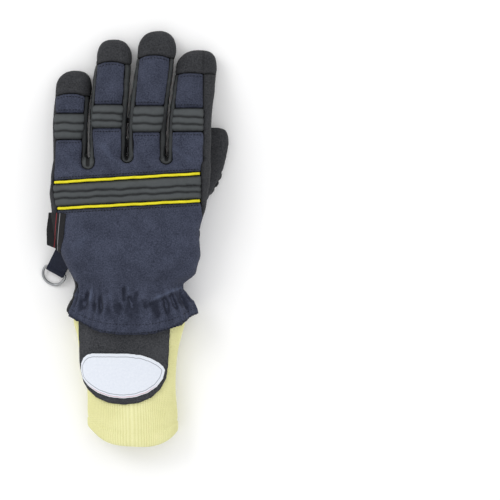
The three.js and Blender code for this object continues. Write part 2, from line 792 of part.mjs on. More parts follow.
// Pull loop: two legs sewn on the inner side of the tab, the bend lying on the surface
const loopLegs = [1, 20];      // middles of the two legs
const loopWidth = 10;
const onTab = tabThickness + gap;
const loopRun = [[-116, onTab], [-129, onTab], [-134, 0.1], [-142, 0]];
const loopBendY = -144;
const loopBend = 9;
const loopNarrowing = 1.5;     // the tape draws in at the bend
const bendSteps = 8;

function pullLoopPiece() {
  const [left, right] = loopLegs;
  const path = loopRun.map(([y, z]) => [left, y, z, loopWidth]);
  const middle = (left + right) / 2;
  for (let k = 1; k < bendSteps; k += 1) {
    const angle = (k / bendSteps) * Math.PI;
    const x = middle + (left - middle) * Math.cos(angle);
    const width = loopWidth - loopNarrowing * Math.sin(angle);
    path.push([x, loopBendY - loopBend * Math.sin(angle), 0, width]);
  }
  [...loopRun].reverse().forEach(([y, z]) => path.push([right, y, z, loopWidth]));
  return strip(path, loopThickness);
}

// Woven side label: folded over the side seam, its upper part lying on the back
const labelOutline = [
  [-39.3, 20.5], [-53.8, 21.5], [-55.6, 7.8], [-55.2, -3.9], [-48.6, -6.6], [-45.2, -10.5], [-41.8, -0.8],
];

function sideLabelPiece() {
  const seamHeight = (lift) => above((y, x) => handMiddle(y, x) + lift, ...seamSpan);
  const flange = seamHeight(0).subtract(seamHeight(labelThickness));
  const skin = handBody(gap + labelThickness, floorZ).intersect(seamHeight(0));
  return skin.add(flange).intersect(prism(labelOutline)).subtract(handBody(gap, floorZ));
}

// Webbing tab and D-ring at the pinky side: the ring turns on its straight bar inside the webbing
const barMiddle = new THREE.Vector3(-49.3, -23.8, 6);
const barTurn = Math.atan2(-9.0, 16.2);
const webbingWidth = 15.4;
const webbingThickness = 3.0;
const webbingLength = 23;
const wire = 1.1;              // half of the ring wire's thickness
const wireRoom = 0.4;          // between the wire and the webbing round it
const ringHalf = 9.2;
const ringDepth = 12.4;
const ringCorner = 3.2;
const ringSteps = 15;
const wireSides = 6;
const barShare = 0.6;          // the straight bar's share of the ring's width
const ringSquareness = 2.2;
const cornerSharpness = 0.3;
const tabRise = 0.65;          // slope of the webbing up to the seam, in radians
const ringFall = -0.38;        // slope of the ring down to its far side

function ringTabPiece() {
  const head = wire + wireRoom + webbingThickness / 2;
  const shape = new THREE.Shape();
  const half = webbingThickness / 2;
  const start = Math.asin(half / head);
  shape.moveTo(webbingLength, half);
  shape.lineTo(head * Math.cos(start), half);
  shape.absarc(0, 0, head, start, 2 * Math.PI - start, false);
  shape.lineTo(webbingLength, -half);
  shape.closePath();
  const hole = new THREE.Path();
  hole.absarc(0, 0, wire + wireRoom, 0, 2 * Math.PI, true);
  shape.holes.push(hole);
  const settings = { depth: webbingWidth, bevelEnabled: false, curveSegments: 6 };
  const extruded = new THREE.ExtrudeGeometry(shape, settings);
  extruded.translate(0, 0, -webbingWidth / 2);
  extruded.rotateZ(tabRise);
  extruded.rotateX(Math.PI / 2);
  extruded.rotateZ(barTurn + Math.PI / 2);
  extruded.translate(barMiddle.x, barMiddle.y, barMiddle.z);
  return fromGeometry(extruded).subtract(handBody(gap, floorZ));
}

// Outline of the D-ring about its straight bar: across the webbing, then away from the glove
function dRingOutline() {
  const bar = [-barShare, 0, barShare].map((share) => new THREE.Vector3(share * ringHalf, 0, 0));
  const bow = [];
  for (let k = 0; k <= ringSteps; k += 1) {
    const [c, s] = roundPoint((k / ringSteps) * Math.PI, ringSquareness);
    const out = s * (ringDepth - ringCorner) + (s > 0 ? ringCorner * s ** cornerSharpness : 0);
    bow.push(new THREE.Vector3(c * ringHalf, -out, 0));
  }
  return [...bar, ...bow];
}

// Wire swept round the ring's closed outline
function dRingPiece() {
  const loop = dRingOutline();
  const rings = loop.map((p, k) => {
    const before = loop[(k + loop.length - 1) % loop.length];
    const after = loop[(k + 1) % loop.length];
    const along = after.clone().sub(before).normalize();
    const ring = [];
    for (let i = 0; i < wireSides; i += 1) {
      const angle = (i / wireSides) * 2 * Math.PI;
      const out = wire * Math.cos(angle);
      ring.push([p.x - along.y * out, p.y + along.x * out, wire * Math.sin(angle)]);
    }
    return ring;
  });
  const turn = new THREE.Matrix4().makeTranslation(barMiddle.x, barMiddle.y, barMiddle.z)
    .multiply(new THREE.Matrix4().makeRotationZ(barTurn))
    .multiply(new THREE.Matrix4().makeRotationX(-ringFall));
  const placed = (p) => new THREE.Vector3(...p).applyMatrix4(turn).toArray();
  return closedTube(rings.map((ring) => ring.map(placed)));
}

function closedTube(rings) {
  const sides = rings[0].length;
  const triangles = [];
  rings.forEach((ring, r) => {
    const next = (r + 1) % rings.length;
    for (let i = 0; i < sides; i += 1) {
      const j = (i + 1) % sides;
      const [a, b] = [r * sides + i, r * sides + j];
      const [c, d] = [next * sides + i, next * sides + j];
      triangles.push([a, b, d], [a, d, c]);
    }
  });
  return turnedOut(rings.flat(), triangles);
}

// Assembly

const pieces = [];

// The largest body of a cut, without the crumbs that the cut leaves
function largestBody(solid) {
  return solid.decompose().reduce((best, body) => (body.volume() > best.volume() ? body : best));
}

// The separate body of a cut that lies along one finger
function bodyUnder(solid, digit) {
  const { left, right } = digitAt(digit, digit.capSeam);
  const middle = (body) => {
    const { min, max } = body.boundingBox();
    return Math.abs((min[0] + max[0] - left - right) / 2);
  };
  const long = solid.decompose().filter((body) => body.boundingBox().max[1] > digit.capSeam);
  return long.reduce((best, body) => (middle(body) < middle(best) ? body : best));
}

function add(name, solid, look) {
  pieces.push({ name, solid: largestBody(solid).simplify(finest), look });
}

const navy = material(colours.navy, 0.85);
const knit = material(colours.knit, 0.95);
const leather = material(colours.leather, 0.7);
const cutRegions = [];

function panel(name, region, look) {
  cutRegions.push(region(gap));
  add(name, shell.intersect(region(0)), look);
}

panel('upper_back', upperBackRegion, navy);
panel('lower_back', lowerBackRegion, navy);
panel('thumb_base', thumbBaseRegion, navy);
panel('thumb_tip_back', (grow) => thumbBandRegion(thumbPadHigh, thumbTipEnd, grow), knit);
fingerNames.forEach((name) => {
  const digit = digits[name];
  panel(`cap_${name}`, (grow) => capRegion(digit, grow), knit);
  panel(`finger_back_${name}`, (grow) => {
    return stripRegion(digit, digit.padTop, digit.capSeam, grow, digit.capArch);
  }, navy);
  cutRegions.push(stripRegion(digit, digit.padFoot, digit.padTop, gap));
  add(`flex_pad_${name}`, padPiece(digit), leather);
});
crotches.forEach((crotch) => panel(crotch.name, (grow) => crotchRegion(crotch, grow), leather));
cutRegions.push(bandRegion(shifted(pipingLow, -slot), shifted(pipingHigh, slot), gap));
cutRegions.push(thumbBandRegion(thumbPadLow, thumbPadHigh, gap));
add('knuckle_guard', guardPiece(), leather);
add('piping_upper', pipingPiece(pipingHigh), material(colours.yellow, 0.7));
add('piping_lower', pipingPiece(pipingLow), material(colours.yellow, 0.7));
add('thumb_pad', thumbPadPiece(), leather);

// Palm side: the palm itself, with the underside of each finger and the thumb's inner half sewn to it
const palmSide = shell.subtract(wasm.Manifold.union(cutRegions));
const fingerSide = palmSide.intersect(prism(rectangle(-farOut, farOut, frontSeam + gap / 2, 2 * farOut)));
const thumbSpace = digitBody(digits.thumb, gap, floorZ).subtract(handBody(seamLip, floorZ));
add('palm', palmSide.subtract(prism(rectangle(-farOut, farOut, frontSeam - gap / 2, 2 * farOut)))
  .subtract(thumbSpace), knit);
fingerNames.forEach((name) => {
  add(`finger_front_${name}`, bodyUnder(fingerSide, digits[name]), knit);
});
add('thumb_front', palmSide.intersect(thumbSpace).subtract(handBody(gap, floorZ)), knit);
add('wristlet', wristletPiece(), material(colours.rib, 0.95));
add('wrist_tab_back', backTabPiece(), knit);
add('oval_label', ovalPiece(), material(colours.label, 0.6));
add('wrist_tab_palm', palmTabPiece(), knit);
add('pull_loop', pullLoopPiece(), material(colours.tape, 0.9));
add('side_label', sideLabelPiece(), material(colours.tape, 0.8));
add('ring_tab', ringTabPiece(), material(colours.webbing, 0.9));
add('d_ring', dRingPiece(), material(colours.steel, 0.3, 1));

function meshOf({ name, solid, look }) {
  const { vertProperties, triVerts } = solid.getMesh();
  const geometry = new THREE.BufferGeometry();
  geometry.setAttribute('position', new THREE.BufferAttribute(new Float32Array(vertProperties), 3));
  geometry.setIndex(new THREE.BufferAttribute(new Uint32Array(triVerts), 1));
  geometry.computeVertexNormals();
  const mesh = new THREE.Mesh(geometry, look);
  mesh.name = name;
  return mesh;
}

const gloveGroup = new THREE.Group();
pieces.forEach((piece) => gloveGroup.add(meshOf(piece)));
const box = new THREE.Box3().setFromObject(gloveGroup);
const centre = box.getCenter(new THREE.Vector3());
gloveGroup.position.set(-centre.x, -centre.y, -box.min.z);
gloveGroup.updateMatrixWorld(true);

export default gloveGroup;
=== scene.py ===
import math

import bpy
import numpy as np
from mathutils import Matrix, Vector, kdtree, noise


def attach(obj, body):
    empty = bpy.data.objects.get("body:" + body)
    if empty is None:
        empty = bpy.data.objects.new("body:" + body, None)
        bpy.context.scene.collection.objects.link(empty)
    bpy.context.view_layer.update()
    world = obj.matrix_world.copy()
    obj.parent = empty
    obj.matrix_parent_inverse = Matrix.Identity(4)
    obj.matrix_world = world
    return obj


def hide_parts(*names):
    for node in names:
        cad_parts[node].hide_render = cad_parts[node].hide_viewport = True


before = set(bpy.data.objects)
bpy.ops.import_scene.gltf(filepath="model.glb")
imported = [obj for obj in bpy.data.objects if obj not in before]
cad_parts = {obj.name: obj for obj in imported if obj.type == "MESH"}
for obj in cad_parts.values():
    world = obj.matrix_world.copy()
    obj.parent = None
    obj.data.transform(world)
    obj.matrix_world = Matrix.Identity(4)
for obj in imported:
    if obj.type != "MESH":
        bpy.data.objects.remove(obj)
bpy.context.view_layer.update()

# Where the drawing's zero lies in the part's frame
SHIFT = np.array([-12.7753, -1.3098, 0.0])
MM = 0.001
TINY = 1e-6

# The glove's form, as the part's drawing gives it
WALL = 2.6
HAND_ROUNDNESS = 2.7
DIGIT_ROUNDNESS = 2.38
WAIST_Y = -36.0
WAIST_REACH = 7.0
WAIST_RUFFLE = 0.7
HEM_Y = -57.0
HEM_DIP = 17.0
HEM_DIP_POWER = 2.6
HEM_RUFFLE = 1.7
RUFFLE_WAVES = 8
RUFFLE_SWAY = 1.3
HAND_FRONT = 57.0
FRONT_ROUND = 7.0
BLEND = 0.7

# Past their last rows the hand and the digits die out over these lengths
HAND_END_FADE = 20.0
DIGIT_END_FADE = 10.0

# Section of the hand: y, left, right, middle height, half height, rise to the thumb side
HAND_ROWS = np.array([
    [-57, -39.8, 62.3, 21.3, 21.8, 0],
    [-46, -35.5, 57.0, 20.3, 19.2, 0],
    [-36, -33.0, 50.5, 19.5, 16.8, 0],
    [-27, -36.5, 59.8, 21.0, 18.2, 0.01],
    [-12, -44.0, 64.0, 23.5, 18.5, 0.03],
    [6, -49.0, 64.0, 26.0, 17.5, 0.05],
    [25, -51.5, 68.5, 28.2, 15.5, 0.075],
    [43, -53.0, 71.0, 28.8, 13.4, 0.08],
    [57, -50.8, 72.2, 28.6, 12.6, 0.08],
])

# Section of each finger in rows: y, left, right, middle height, half height. Then its tip, the height y
# of the cap's seam and the rise of the seam's arch, the two ends y of the pad, and the left and right
# ends of the stitches at the cap and at the pad.
FINGERS = {
    "pinky": dict(
        rows=[[42, -49.5, -23.9, 24.0, 10.4], [93, -50.5, -23.0, 19.8, 10.4],
              [118.5, -49.0, -21.2, 9.8, 10.4]],
        tip=[-33.5, 133.0, 8.0], cap=112.0, arch=2.2, pad=(78.0, 98.3),
        at_cap=(-48.0, -26.0), at_pad=(-47.3, -28.0)),
    "ring": dict(
        rows=[[42, -21.5, 6.2, 27.0, 11.4], [93, -21.7, 7.6, 24.0, 11.4],
              [122, -20.0, 9.0, 16.2, 11.3], [142, -17.0, 10.6, 10.0, 10.8]],
        tip=[-4.0, 157.4, 8.5], cap=137.0, arch=2.2, pad=(86.6, 105.0),
        at_cap=(-15.4, 5.0), at_pad=(-18.7, 2.6)),
    "middle": dict(
        rows=[[42, 8.0, 37.2, 29.0, 11.6], [93, 8.7, 38.8, 26.0, 11.6],
              [128, 12.6, 42.3, 16.6, 11.5], [148, 15.2, 45.2, 10.2, 11.0]],
        tip=[31.5, 164.0, 8.5], cap=141.8, arch=2.4, pad=(83.5, 104.0),
        at_cap=(17.4, 40.0), at_pad=(12.6, 33.2)),
    "index": dict(
        rows=[[42, 39.0, 71.5, 32.0, 11.6], [93, 40.2, 73.0, 29.6, 11.6],
              [116, 42.6, 75.0, 19.4, 11.5], [134, 45.0, 77.0, 10.4, 11.2]],
        tip=[63.5, 149.0, 8.5], cap=129.2, arch=0.9, pad=(83.8, 101.8),
        at_cap=(47.6, 66.5), at_pad=(43.6, 66.6)),
}
THUMB = dict(
    rows=[[-14, 26.0, 58.0, 13.0, 11.0], [30, 38.0, 69.0, 9.4, 9.9], [45, 45.5, 78.2, 9.0, 9.4],
          [60, 51.0, 83.4, 8.8, 9.2], [75, 55.5, 86.4, 8.6, 9.2]],
    tip=[75.0, 88.6, 8.0])

# Crotch strips: the fingers they lie between and where the slit begins
CROTCHES = {
    "fourchette_pinky_ring": ("pinky", "ring", 57.0),
    "fourchette_ring_middle": ("ring", "middle", 61.6),
    "fourchette_middle_index": ("middle", "index", 61.0),
}
# The slit: its width and depth, the length over which it begins and how strong the painted shade inside
# it is
SLIT_WIDTH = 0.95
SLIT_DEPTH = 1.8
SLIT_START = 2.0
SLIT_SHADE_STRENGTH = 1.5

# Knuckle guard: x of its two ends, and y of its piping at the pinky side and at the index side
GUARD_X = (-49.0, 64.6)
GUARD_LEFT_LOW = -46.3
PIPING_HIGH = (44.5, 51.2)
PIPING_LOW = (24.2, 30.2)
PIPING_RADIUS = 1.0
PIPING_FULLNESS = 1.06
PIPING_LIFT = 0.4
PIPING_INSET = 0.6
GUARD_RIB = 1.5
PAD_RIB = 1.3

# Grooves between the ribs, as shares of the width from its foot: at the pinky side, at the index side
GUARD_GROOVES = [(0.35, 0.32), (0.65, 0.56)]
PAD_GROOVES = [(0.31, 0.31), (0.62, 0.62)]
GROOVE_WIDTH = 1.05

# The thumb's pad: y of its two edges at the two places x
THUMB_PAD_X = (32.0, 96.0)
THUMB_PAD_LOW = (31.0, 38.0)
THUMB_PAD_HIGH = (45.5, 56.0)
THUMB_PAD_RIB = 1.0

# The seam down the index finger's cap
CAP_SEAM_X = 66.7

# The gather: where it ends on the knit and the thumb's cloth
GATHER_TOP = -20.0
# Pleats all round, and the middles of pleats, elastic and fine crinkles as heights y in the hand's table
PLEATS = 34
PLEATS_Y = -44.0
ELASTIC_Y = -45.0
ELASTIC_DEPTH = 0.9
CRINKLE_Y = -46.0

# A panel's edge: how high its cloth puffs and how far it curls in, and how wide each of these reaches;
# how wide the painted shade along its seams reaches, and how far the palm grows to close its seams
PUFF = 0.3
PUFF_REACH = 5.0
CURL = 0.75
SOFT_CURL = 0.35
CURL_REACH = 1.5
SEAM_SHADE_REACH = 1.3
SEAM_CLOSE = 0.2

# A panel's outer side and its rim: how deep they reach as shares of the wall, and how far the rim's
# faces turn away from the smooth form
OUTER_DEPTH = 0.8
OUTER_FADE = 0.55
RIM_DEPTH = 0.75
RIM_FACING = 0.55
PANEL_VOXEL = 1.15
FAR = 30.0

# Wristlet: y, left, right, bottom, top
CUFF_ROWS = np.array([
    [-161, -23.0, 46.6, 0, 29.0],
    [-140, -23.6, 46.4, 0, 29.5],
    [-115, -24.4, 44.6, 0, 30.0],
    [-98, -28.6, 45.0, 0, 31.0],
    [-86, -30.6, 46.4, 0.8, 31.6],
    [-74, -32.0, 49.6, 3.0, 32.6],
    [-62, -34.6, 52.5, 6.0, 32.8],
    [-50, -31.0, 50.0, 7.6, 31.5],
    [-40, -28.4, 45.4, 8.0, 30.5],
])
CUFF_ROUNDNESS = 2.5
CUFF_WALL = 2.4
CUFF_OPEN_Y = -160.0
CUFF_HIDDEN_Y = -42.0
CUFF_RIBS = 116
POINTS_PER_RIB = 5
RIB_DEPTH = 0.5
DOUBLED_EDGE_Y = -150.0

# How the wristlet's open end bows and leans, from a height y on
CUFF_BOW = 13.0
CUFF_BOW_POWER = 3.2
CUFF_SKEW = 1.8
BOW_FROM_Y = -120.0
BOW_LENGTH = 41.0

# The palm tab, which lifts the wristlet off the surface
TAB_SIDES = (-8.5, 40.0)
TAB_LIFT = 3.6
TAB_SLOPE_START = 7.0
TAB_SLOPE_LENGTH = 6.0

# The back tab and the label, which lie on the wristlet: heights of their two sides off its form
BACK_TAB_HEIGHTS = (0.35, 2.1)
LABEL_HEIGHTS = (2.35, 3.45)
ROUNDED_EDGE = 0.35

# Lines woven into the label and the tag, in the part's frame
LABEL_LINE_INSET = 2.6
LABEL_FOOT_INSET = 1.0
LABEL_FOOT_Y = -112.0
TAG_RED_LINE = -61.3
TAG_WHITE_LINE = -58.6

# Stitches: their size and lift, and how far each row lies from its seam
STITCH = dict(lift=0.12, length=1.7, thickness=0.65)
HEM_STITCH = dict(lift=0.15, length=1.9, thickness=0.6)
STITCH_SPACING = 1.35
GUARD_STITCH_OFF = 3.5
PAD_STITCH_OFF = 2.7
CAP_STITCH_OFF = 2.4
HEM_STITCH_ROWS = (7.5, 1.8)
# Height in the hand's table per millimetre up from the hem
HEM_ROW_SHARE = 0.62

# What the camera frames, at a height above the floor, and its lens and sensor
FRAME_MIDDLE = (102.96, -7.8)
FRAME_WIDTH = 390.0
FRAMED_HEIGHT = 20.0
LENS = 200.0
SENSOR = 36.0

# Floor and light, in metres and watts
FLOOR_SIZE = 8.0
FLOOR_TONES = ((0.95, 0.95, 0.955, 1), (0.98, 0.98, 0.98, 1))
SKY_STRENGTH = 0.97
WINDOW = dict(place=(-1.1, 0.9, 1.5), size=0.9, power=8)
FILL = dict(place=(0.8, 0.3, 1.6), size=1.6, power=2.0)


# Small helpers

def column(rows, index, y):
    """Smooth value of one column of a table at heights y, by cubic pieces through the rows."""
    rows = np.asarray(rows, float)
    ys, values = rows[:, 0], rows[:, index]
    last = len(ys) - 1
    ends = [(max(i - 1, 0), min(i + 1, last)) for i in range(last + 1)]
    slopes = np.array([(values[b] - values[a]) / (ys[b] - ys[a]) for a, b in ends])
    y = np.clip(y, ys[0], ys[-1])
    k = np.clip(np.searchsorted(ys, y, side="right") - 1, 0, last - 1)
    span = ys[k + 1] - ys[k]
    t = (y - ys[k]) / span
    rise = values[k + 1] - values[k]
    bend = span * (slopes[k] * (1 - t) - slopes[k + 1] * t) - rise * (1 - 2 * t)
    return values[k] + rise * t + t * (1 - t) * bend


def smooth(t):
    """From nothing at 0 to one at 1, level at both ends."""
    t = np.clip(t, 0, 1)
    return t * t * (3 - 2 * t)


def bump(t):
    """One at 0, dying out to both sides."""
    return np.exp(-t * t)


def signed_power(value, power):
    return np.sign(value) * np.abs(value) ** power


def superellipse(u, w, roundness):
    return (np.abs(u) ** roundness + np.abs(w) ** roundness) ** (1 / roundness)


def line_at(line, x, ends=GUARD_X):
    """Height y at x of a straight line, given by its heights at the two ends."""
    return line[0] + (line[1] - line[0]) * (x - ends[0]) / (ends[1] - ends[0])


def guard_left(y):
    """The guard's left end, which leans in towards the lower piping."""
    share = (y - PIPING_LOW[0]) / (PIPING_HIGH[0] - PIPING_LOW[0])
    return GUARD_LEFT_LOW + (GUARD_X[0] - GUARD_LEFT_LOW) * share


def billow(points, size, seed):
    """Soft unevenness between -1 and 1 that varies over the given size."""
    place = Vector((seed * 7.3, seed * 3.1, seed * 5.7))
    return np.array([noise.noise(Vector(p) / size + place) for p in points])


# The glove's smooth form

def hand_frame(points):
    """Where points lie on the hand: its form there, the angle round it and the table's height."""
    x, y, z = points.T
    reach = np.full(len(points), HEM_Y)
    # The hem hangs lowest in the middle of the back, so height and place are found in turns
    for _ in range(3):
        share = (y - WAIST_Y) / (reach - WAIST_Y)
        row_y = np.where(y < WAIST_Y, WAIST_Y + share * (HEM_Y - WAIST_Y), y)
        left, right, middle, half, rise = (column(HAND_ROWS, k, row_y) for k in range(1, 6))
        across = x - (left + right) / 2
        up = z - middle - rise * across
        wide = (right - left) / 2
        form = superellipse(across / wide, up / half, HAND_ROUNDNESS)
        side = np.abs(across / wide) / np.maximum(form, 0.01)
        dip = HEM_DIP * (1 - np.minimum(side, 1) ** HEM_DIP_POWER)
        reach = HEM_Y - np.where(up > 0, dip, 0)
    power = HAND_ROUNDNESS / 2
    angle = np.arctan2(signed_power(up / half, power), signed_power(across / wide, power))
    turn = np.clip((y - HAND_FRONT) / FRONT_ROUND, 0, 0.999)
    shrink = FRONT_ROUND * (1 - np.sqrt(1 - turn ** 2))
    out = ruffle(angle, row_y) - shrink
    form = superellipse(across / (wide + out), up / (half + out), HAND_ROUNDNESS)
    form = form + np.maximum(y - HAND_FRONT - FRONT_ROUND, 0) / HAND_END_FADE
    return form, angle, row_y


def ruffle(angle, y):
    """How far the gathered cloth waves out at the waist and at the hem."""
    wave = np.sin(RUFFLE_WAVES * angle + RUFFLE_SWAY * np.sin(2 * angle))
    at_waist = bump((y - WAIST_Y) / WAIST_REACH) * WAIST_RUFFLE
    at_hem = smooth((WAIST_Y - y) / (WAIST_Y - HEM_Y)) * HEM_RUFFLE
    return wave * (at_waist + at_hem)


def digit_form(digit, points):
    """A finger's or the thumb's form: less than one inside, one on its skin."""
    x, y, z = points.T
    rows = np.array(digit["rows"], float)
    shoulder = rows[-1, 0]
    tip_x, tip_y, tip_z = digit["tip"]
    t = np.clip((y - shoulder) / (tip_y - shoulder), 0, None)
    left, right, middle, half = (column(rows, k, y) for k in range(1, 5))
    lean = np.minimum(t, 1) ** 2
    middle_x = (left + right) / 2 * (1 - lean) + tip_x * lean
    middle_z = middle * (1 - lean) + tip_z * lean
    u = np.abs((x - middle_x) / ((right - left) / 2))
    w = np.abs((z - middle_z) / half)
    n = DIGIT_ROUNDNESS
    return (u ** n + w ** n + t ** n) ** (1 / n) + np.maximum(rows[0, 0] - y, 0) / DIGIT_END_FADE


def all_forms(points):
    forms = [hand_frame(points)[0]]
    forms += [digit_form(digit, points) for digit in [*FINGERS.values(), THUMB]]
    return np.array(forms)


def nearest_skin(points, forms, blend):
    """Distance of points outside a smooth form, and the direction straight out of it."""
    step = 0.05
    at = forms(points)
    slopes = np.array([(forms(points + step * axis) - at) / step for axis in np.eye(3)])
    size = np.maximum(np.linalg.norm(slopes, axis=0), TINY)
    apart = (at - 1) / size
    closest = apart.min(axis=0)
    weight = np.exp(-(apart - closest) / blend)
    total = weight.sum(axis=0)
    way = (slopes / size * (weight / total)).sum(axis=1)
    way /= np.maximum(np.linalg.norm(way, axis=0), TINY)
    return closest - blend * np.log(total), way.T


def glove_skin(points):
    return nearest_skin(points, all_forms, BLEND)


def height_over(x, y, lift=0.0):
    """Places on the glove's upper side at x, y, raised by lift, and the way out there."""
    above_all, rounds, flattest = 60.0, 30, 0.35
    points = np.column_stack([x, y, np.full(len(x), above_all)])
    for _ in range(rounds):
        apart, way = glove_skin(points)
        points[:, 2] -= np.clip((apart - lift) / np.maximum(way[:, 2], flattest), -4, 12)
    return points, way


# The wristlet's smooth form

def cuff_sections(y):
    """Middle and half width, middle and half height of the wristlet at y."""
    left, right, bottom, top = (column(CUFF_ROWS, k, y) for k in range(1, 5))
    return (left + right) / 2, (right - left) / 2, (bottom + top) / 2, (top - bottom) / 2


def cuff_form(points):
    """The wristlet's form, as a list of one: less than one inside, one on its skin."""
    middle_x, wide, middle_z, high = cuff_sections(points[:, 1])
    u = (points[:, 0] - middle_x) / wide
    return superellipse(u, (points[:, 2] - middle_z) / high, CUFF_ROUNDNESS)[None, :]


def cuff_skin(points):
    return nearest_skin(points, cuff_form, BLEND)


# Mesh tools

def points_of(obj):
    flat = np.empty(len(obj.data.vertices) * 3)
    obj.data.vertices.foreach_get("co", flat)
    return flat.reshape(-1, 3) / MM - SHIFT


def set_points(obj, points):
    """Moves a mesh's points, none of them below the surface that the glove lies on."""
    placed = (points + SHIFT) * MM
    placed[:, 2] = np.maximum(placed[:, 2], 0)
    obj.data.vertices.foreach_set("co", placed.ravel())
    obj.data.update()


def normals_of(obj):
    flat = np.empty(len(obj.data.vertices) * 3)
    obj.data.vertex_normals.foreach_get("vector", flat)
    return flat.reshape(-1, 3)


def keep_attribute(obj, name, values):
    layer = obj.data.attributes.new(name, "FLOAT", "POINT")
    layer.data.foreach_set("value", np.asarray(values, np.float32))


def distance_to(points, others):
    """Distance of each point to the nearest of the others, at most FAR."""
    tree = kdtree.KDTree(len(others))
    for i, place in enumerate(others):
        tree.insert(place, i)
    tree.balance()
    return np.array([min(tree.find(p)[2] or 0, FAR) for p in points])


def select_only(obj):
    bpy.ops.object.select_all(action="DESELECT")
    bpy.context.view_layer.objects.active = obj
    obj.select_set(True)


# Steps for edit_all: an operator with its settings
FACE_OUT = (bpy.ops.mesh.normals_make_consistent, dict(inside=False))
MAKE_QUADS = (bpy.ops.mesh.tris_convert_to_quads, {})


def edit_all(obj, *steps):
    """Runs operators on the whole mesh in edit mode, each given with its settings."""
    select_only(obj)
    bpy.ops.object.mode_set(mode="EDIT")
    bpy.ops.mesh.select_all(action="SELECT")
    for operator, settings in steps:
        operator(**settings)
    bpy.ops.object.mode_set(mode="OBJECT")


def merge_doubles(threshold):
    """The step for edit_all that merges points closer than threshold, in metres."""
    return bpy.ops.mesh.remove_doubles, dict(threshold=threshold)


def apply(obj, kind, **settings):
    """Adds a modifier with its settings and applies it."""
    select_only(obj)
    modifier = obj.modifiers.new(kind.title(), kind)
    for name, value in settings.items():
        setattr(modifier, name, value)
    bpy.ops.object.modifier_apply(modifier=modifier.name)


def mesh_object(name, vertices, faces):
    mesh = bpy.data.meshes.new(name)
    mesh.from_pydata([tuple(v) for v in vertices], [], [tuple(f) for f in faces])
    mesh.update()
    obj = bpy.data.objects.new(name, mesh)
    bpy.context.scene.collection.objects.link(obj)
    return obj


def cad_copy(name, nodes, grow=0.0):
    """One new object from copies of the part's nodes, doubled points merged, grown by grow."""
    vertices, faces = [], []
    for node in nodes:
        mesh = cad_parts[node].data
        start = len(vertices)
        vertices += [tuple(v.co) for v in mesh.vertices]
        faces += [tuple(start + i for i in polygon.vertices) for polygon in mesh.polygons]
    obj = mesh_object(name, vertices, faces)
    edit_all(obj, merge_doubles(1e-6))
    if grow:
        apply(obj, "DISPLACE", strength=grow * MM, mid_level=0.0)
    return obj


def soft_copy(name, nodes, voxel, smoothing, grow=0.0):
    """The nodes' solids as one closed mesh of small even faces with softened edges, and its points."""
    obj = cad_copy(name, nodes, grow)
    apply(obj, "REMESH", mode="VOXEL", voxel_size=voxel * MM)
    apply(obj, "SMOOTH", factor=0.5, iterations=smoothing)
    return obj, points_of(obj)


def finish_piece(obj, nodes, body, material):
    """Shades a piece, dresses it, lets it ride and stand for its nodes."""
    select_only(obj)
    bpy.ops.object.shade_smooth()
    obj.data.materials.clear()
    obj.data.materials.append(material)
    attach(obj, body)
    if nodes:
        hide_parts(*nodes)


# Materials

class Value:
    """A number that varies over a surface; sums on it add Math nodes."""

    def __init__(self, paint, socket):
        self.paint = paint
        self.socket = socket

    def maths(self, operation, *others):
        return self.paint.node("ShaderNodeMath", dict(operation=operation), [self, *others])

    def __add__(self, other):
        return self.maths("ADD", other)

    def __sub__(self, other):
        return self.maths("SUBTRACT", other)

    def __mul__(self, other):
        return self.maths("MULTIPLY", other)

    def __truediv__(self, other):
        return self.maths("DIVIDE", other)

    def __radd__(self, other):
        return self.maths("ADD", other)

    def __rmul__(self, other):
        return self.maths("MULTIPLY", other)

    def __rsub__(self, other):
        return self.paint.node("ShaderNodeMath", dict(operation="SUBTRACT"), [other, self])

    def clamp(self):
        return self.paint.node("ShaderNodeClamp", {}, [self])

    def larger(self, other):
        return self.maths("MAXIMUM", other)

    def stripes(self, pitch):
        """A wave that comes back every pitch."""
        return (self * (2 * math.pi / pitch)).maths("SINE")

    def line(self, place, reach):
        """One where the value is the place, down to nothing at reach to both sides."""
        return (1 - ((self - place).maths("ABSOLUTE") / reach)).clamp()


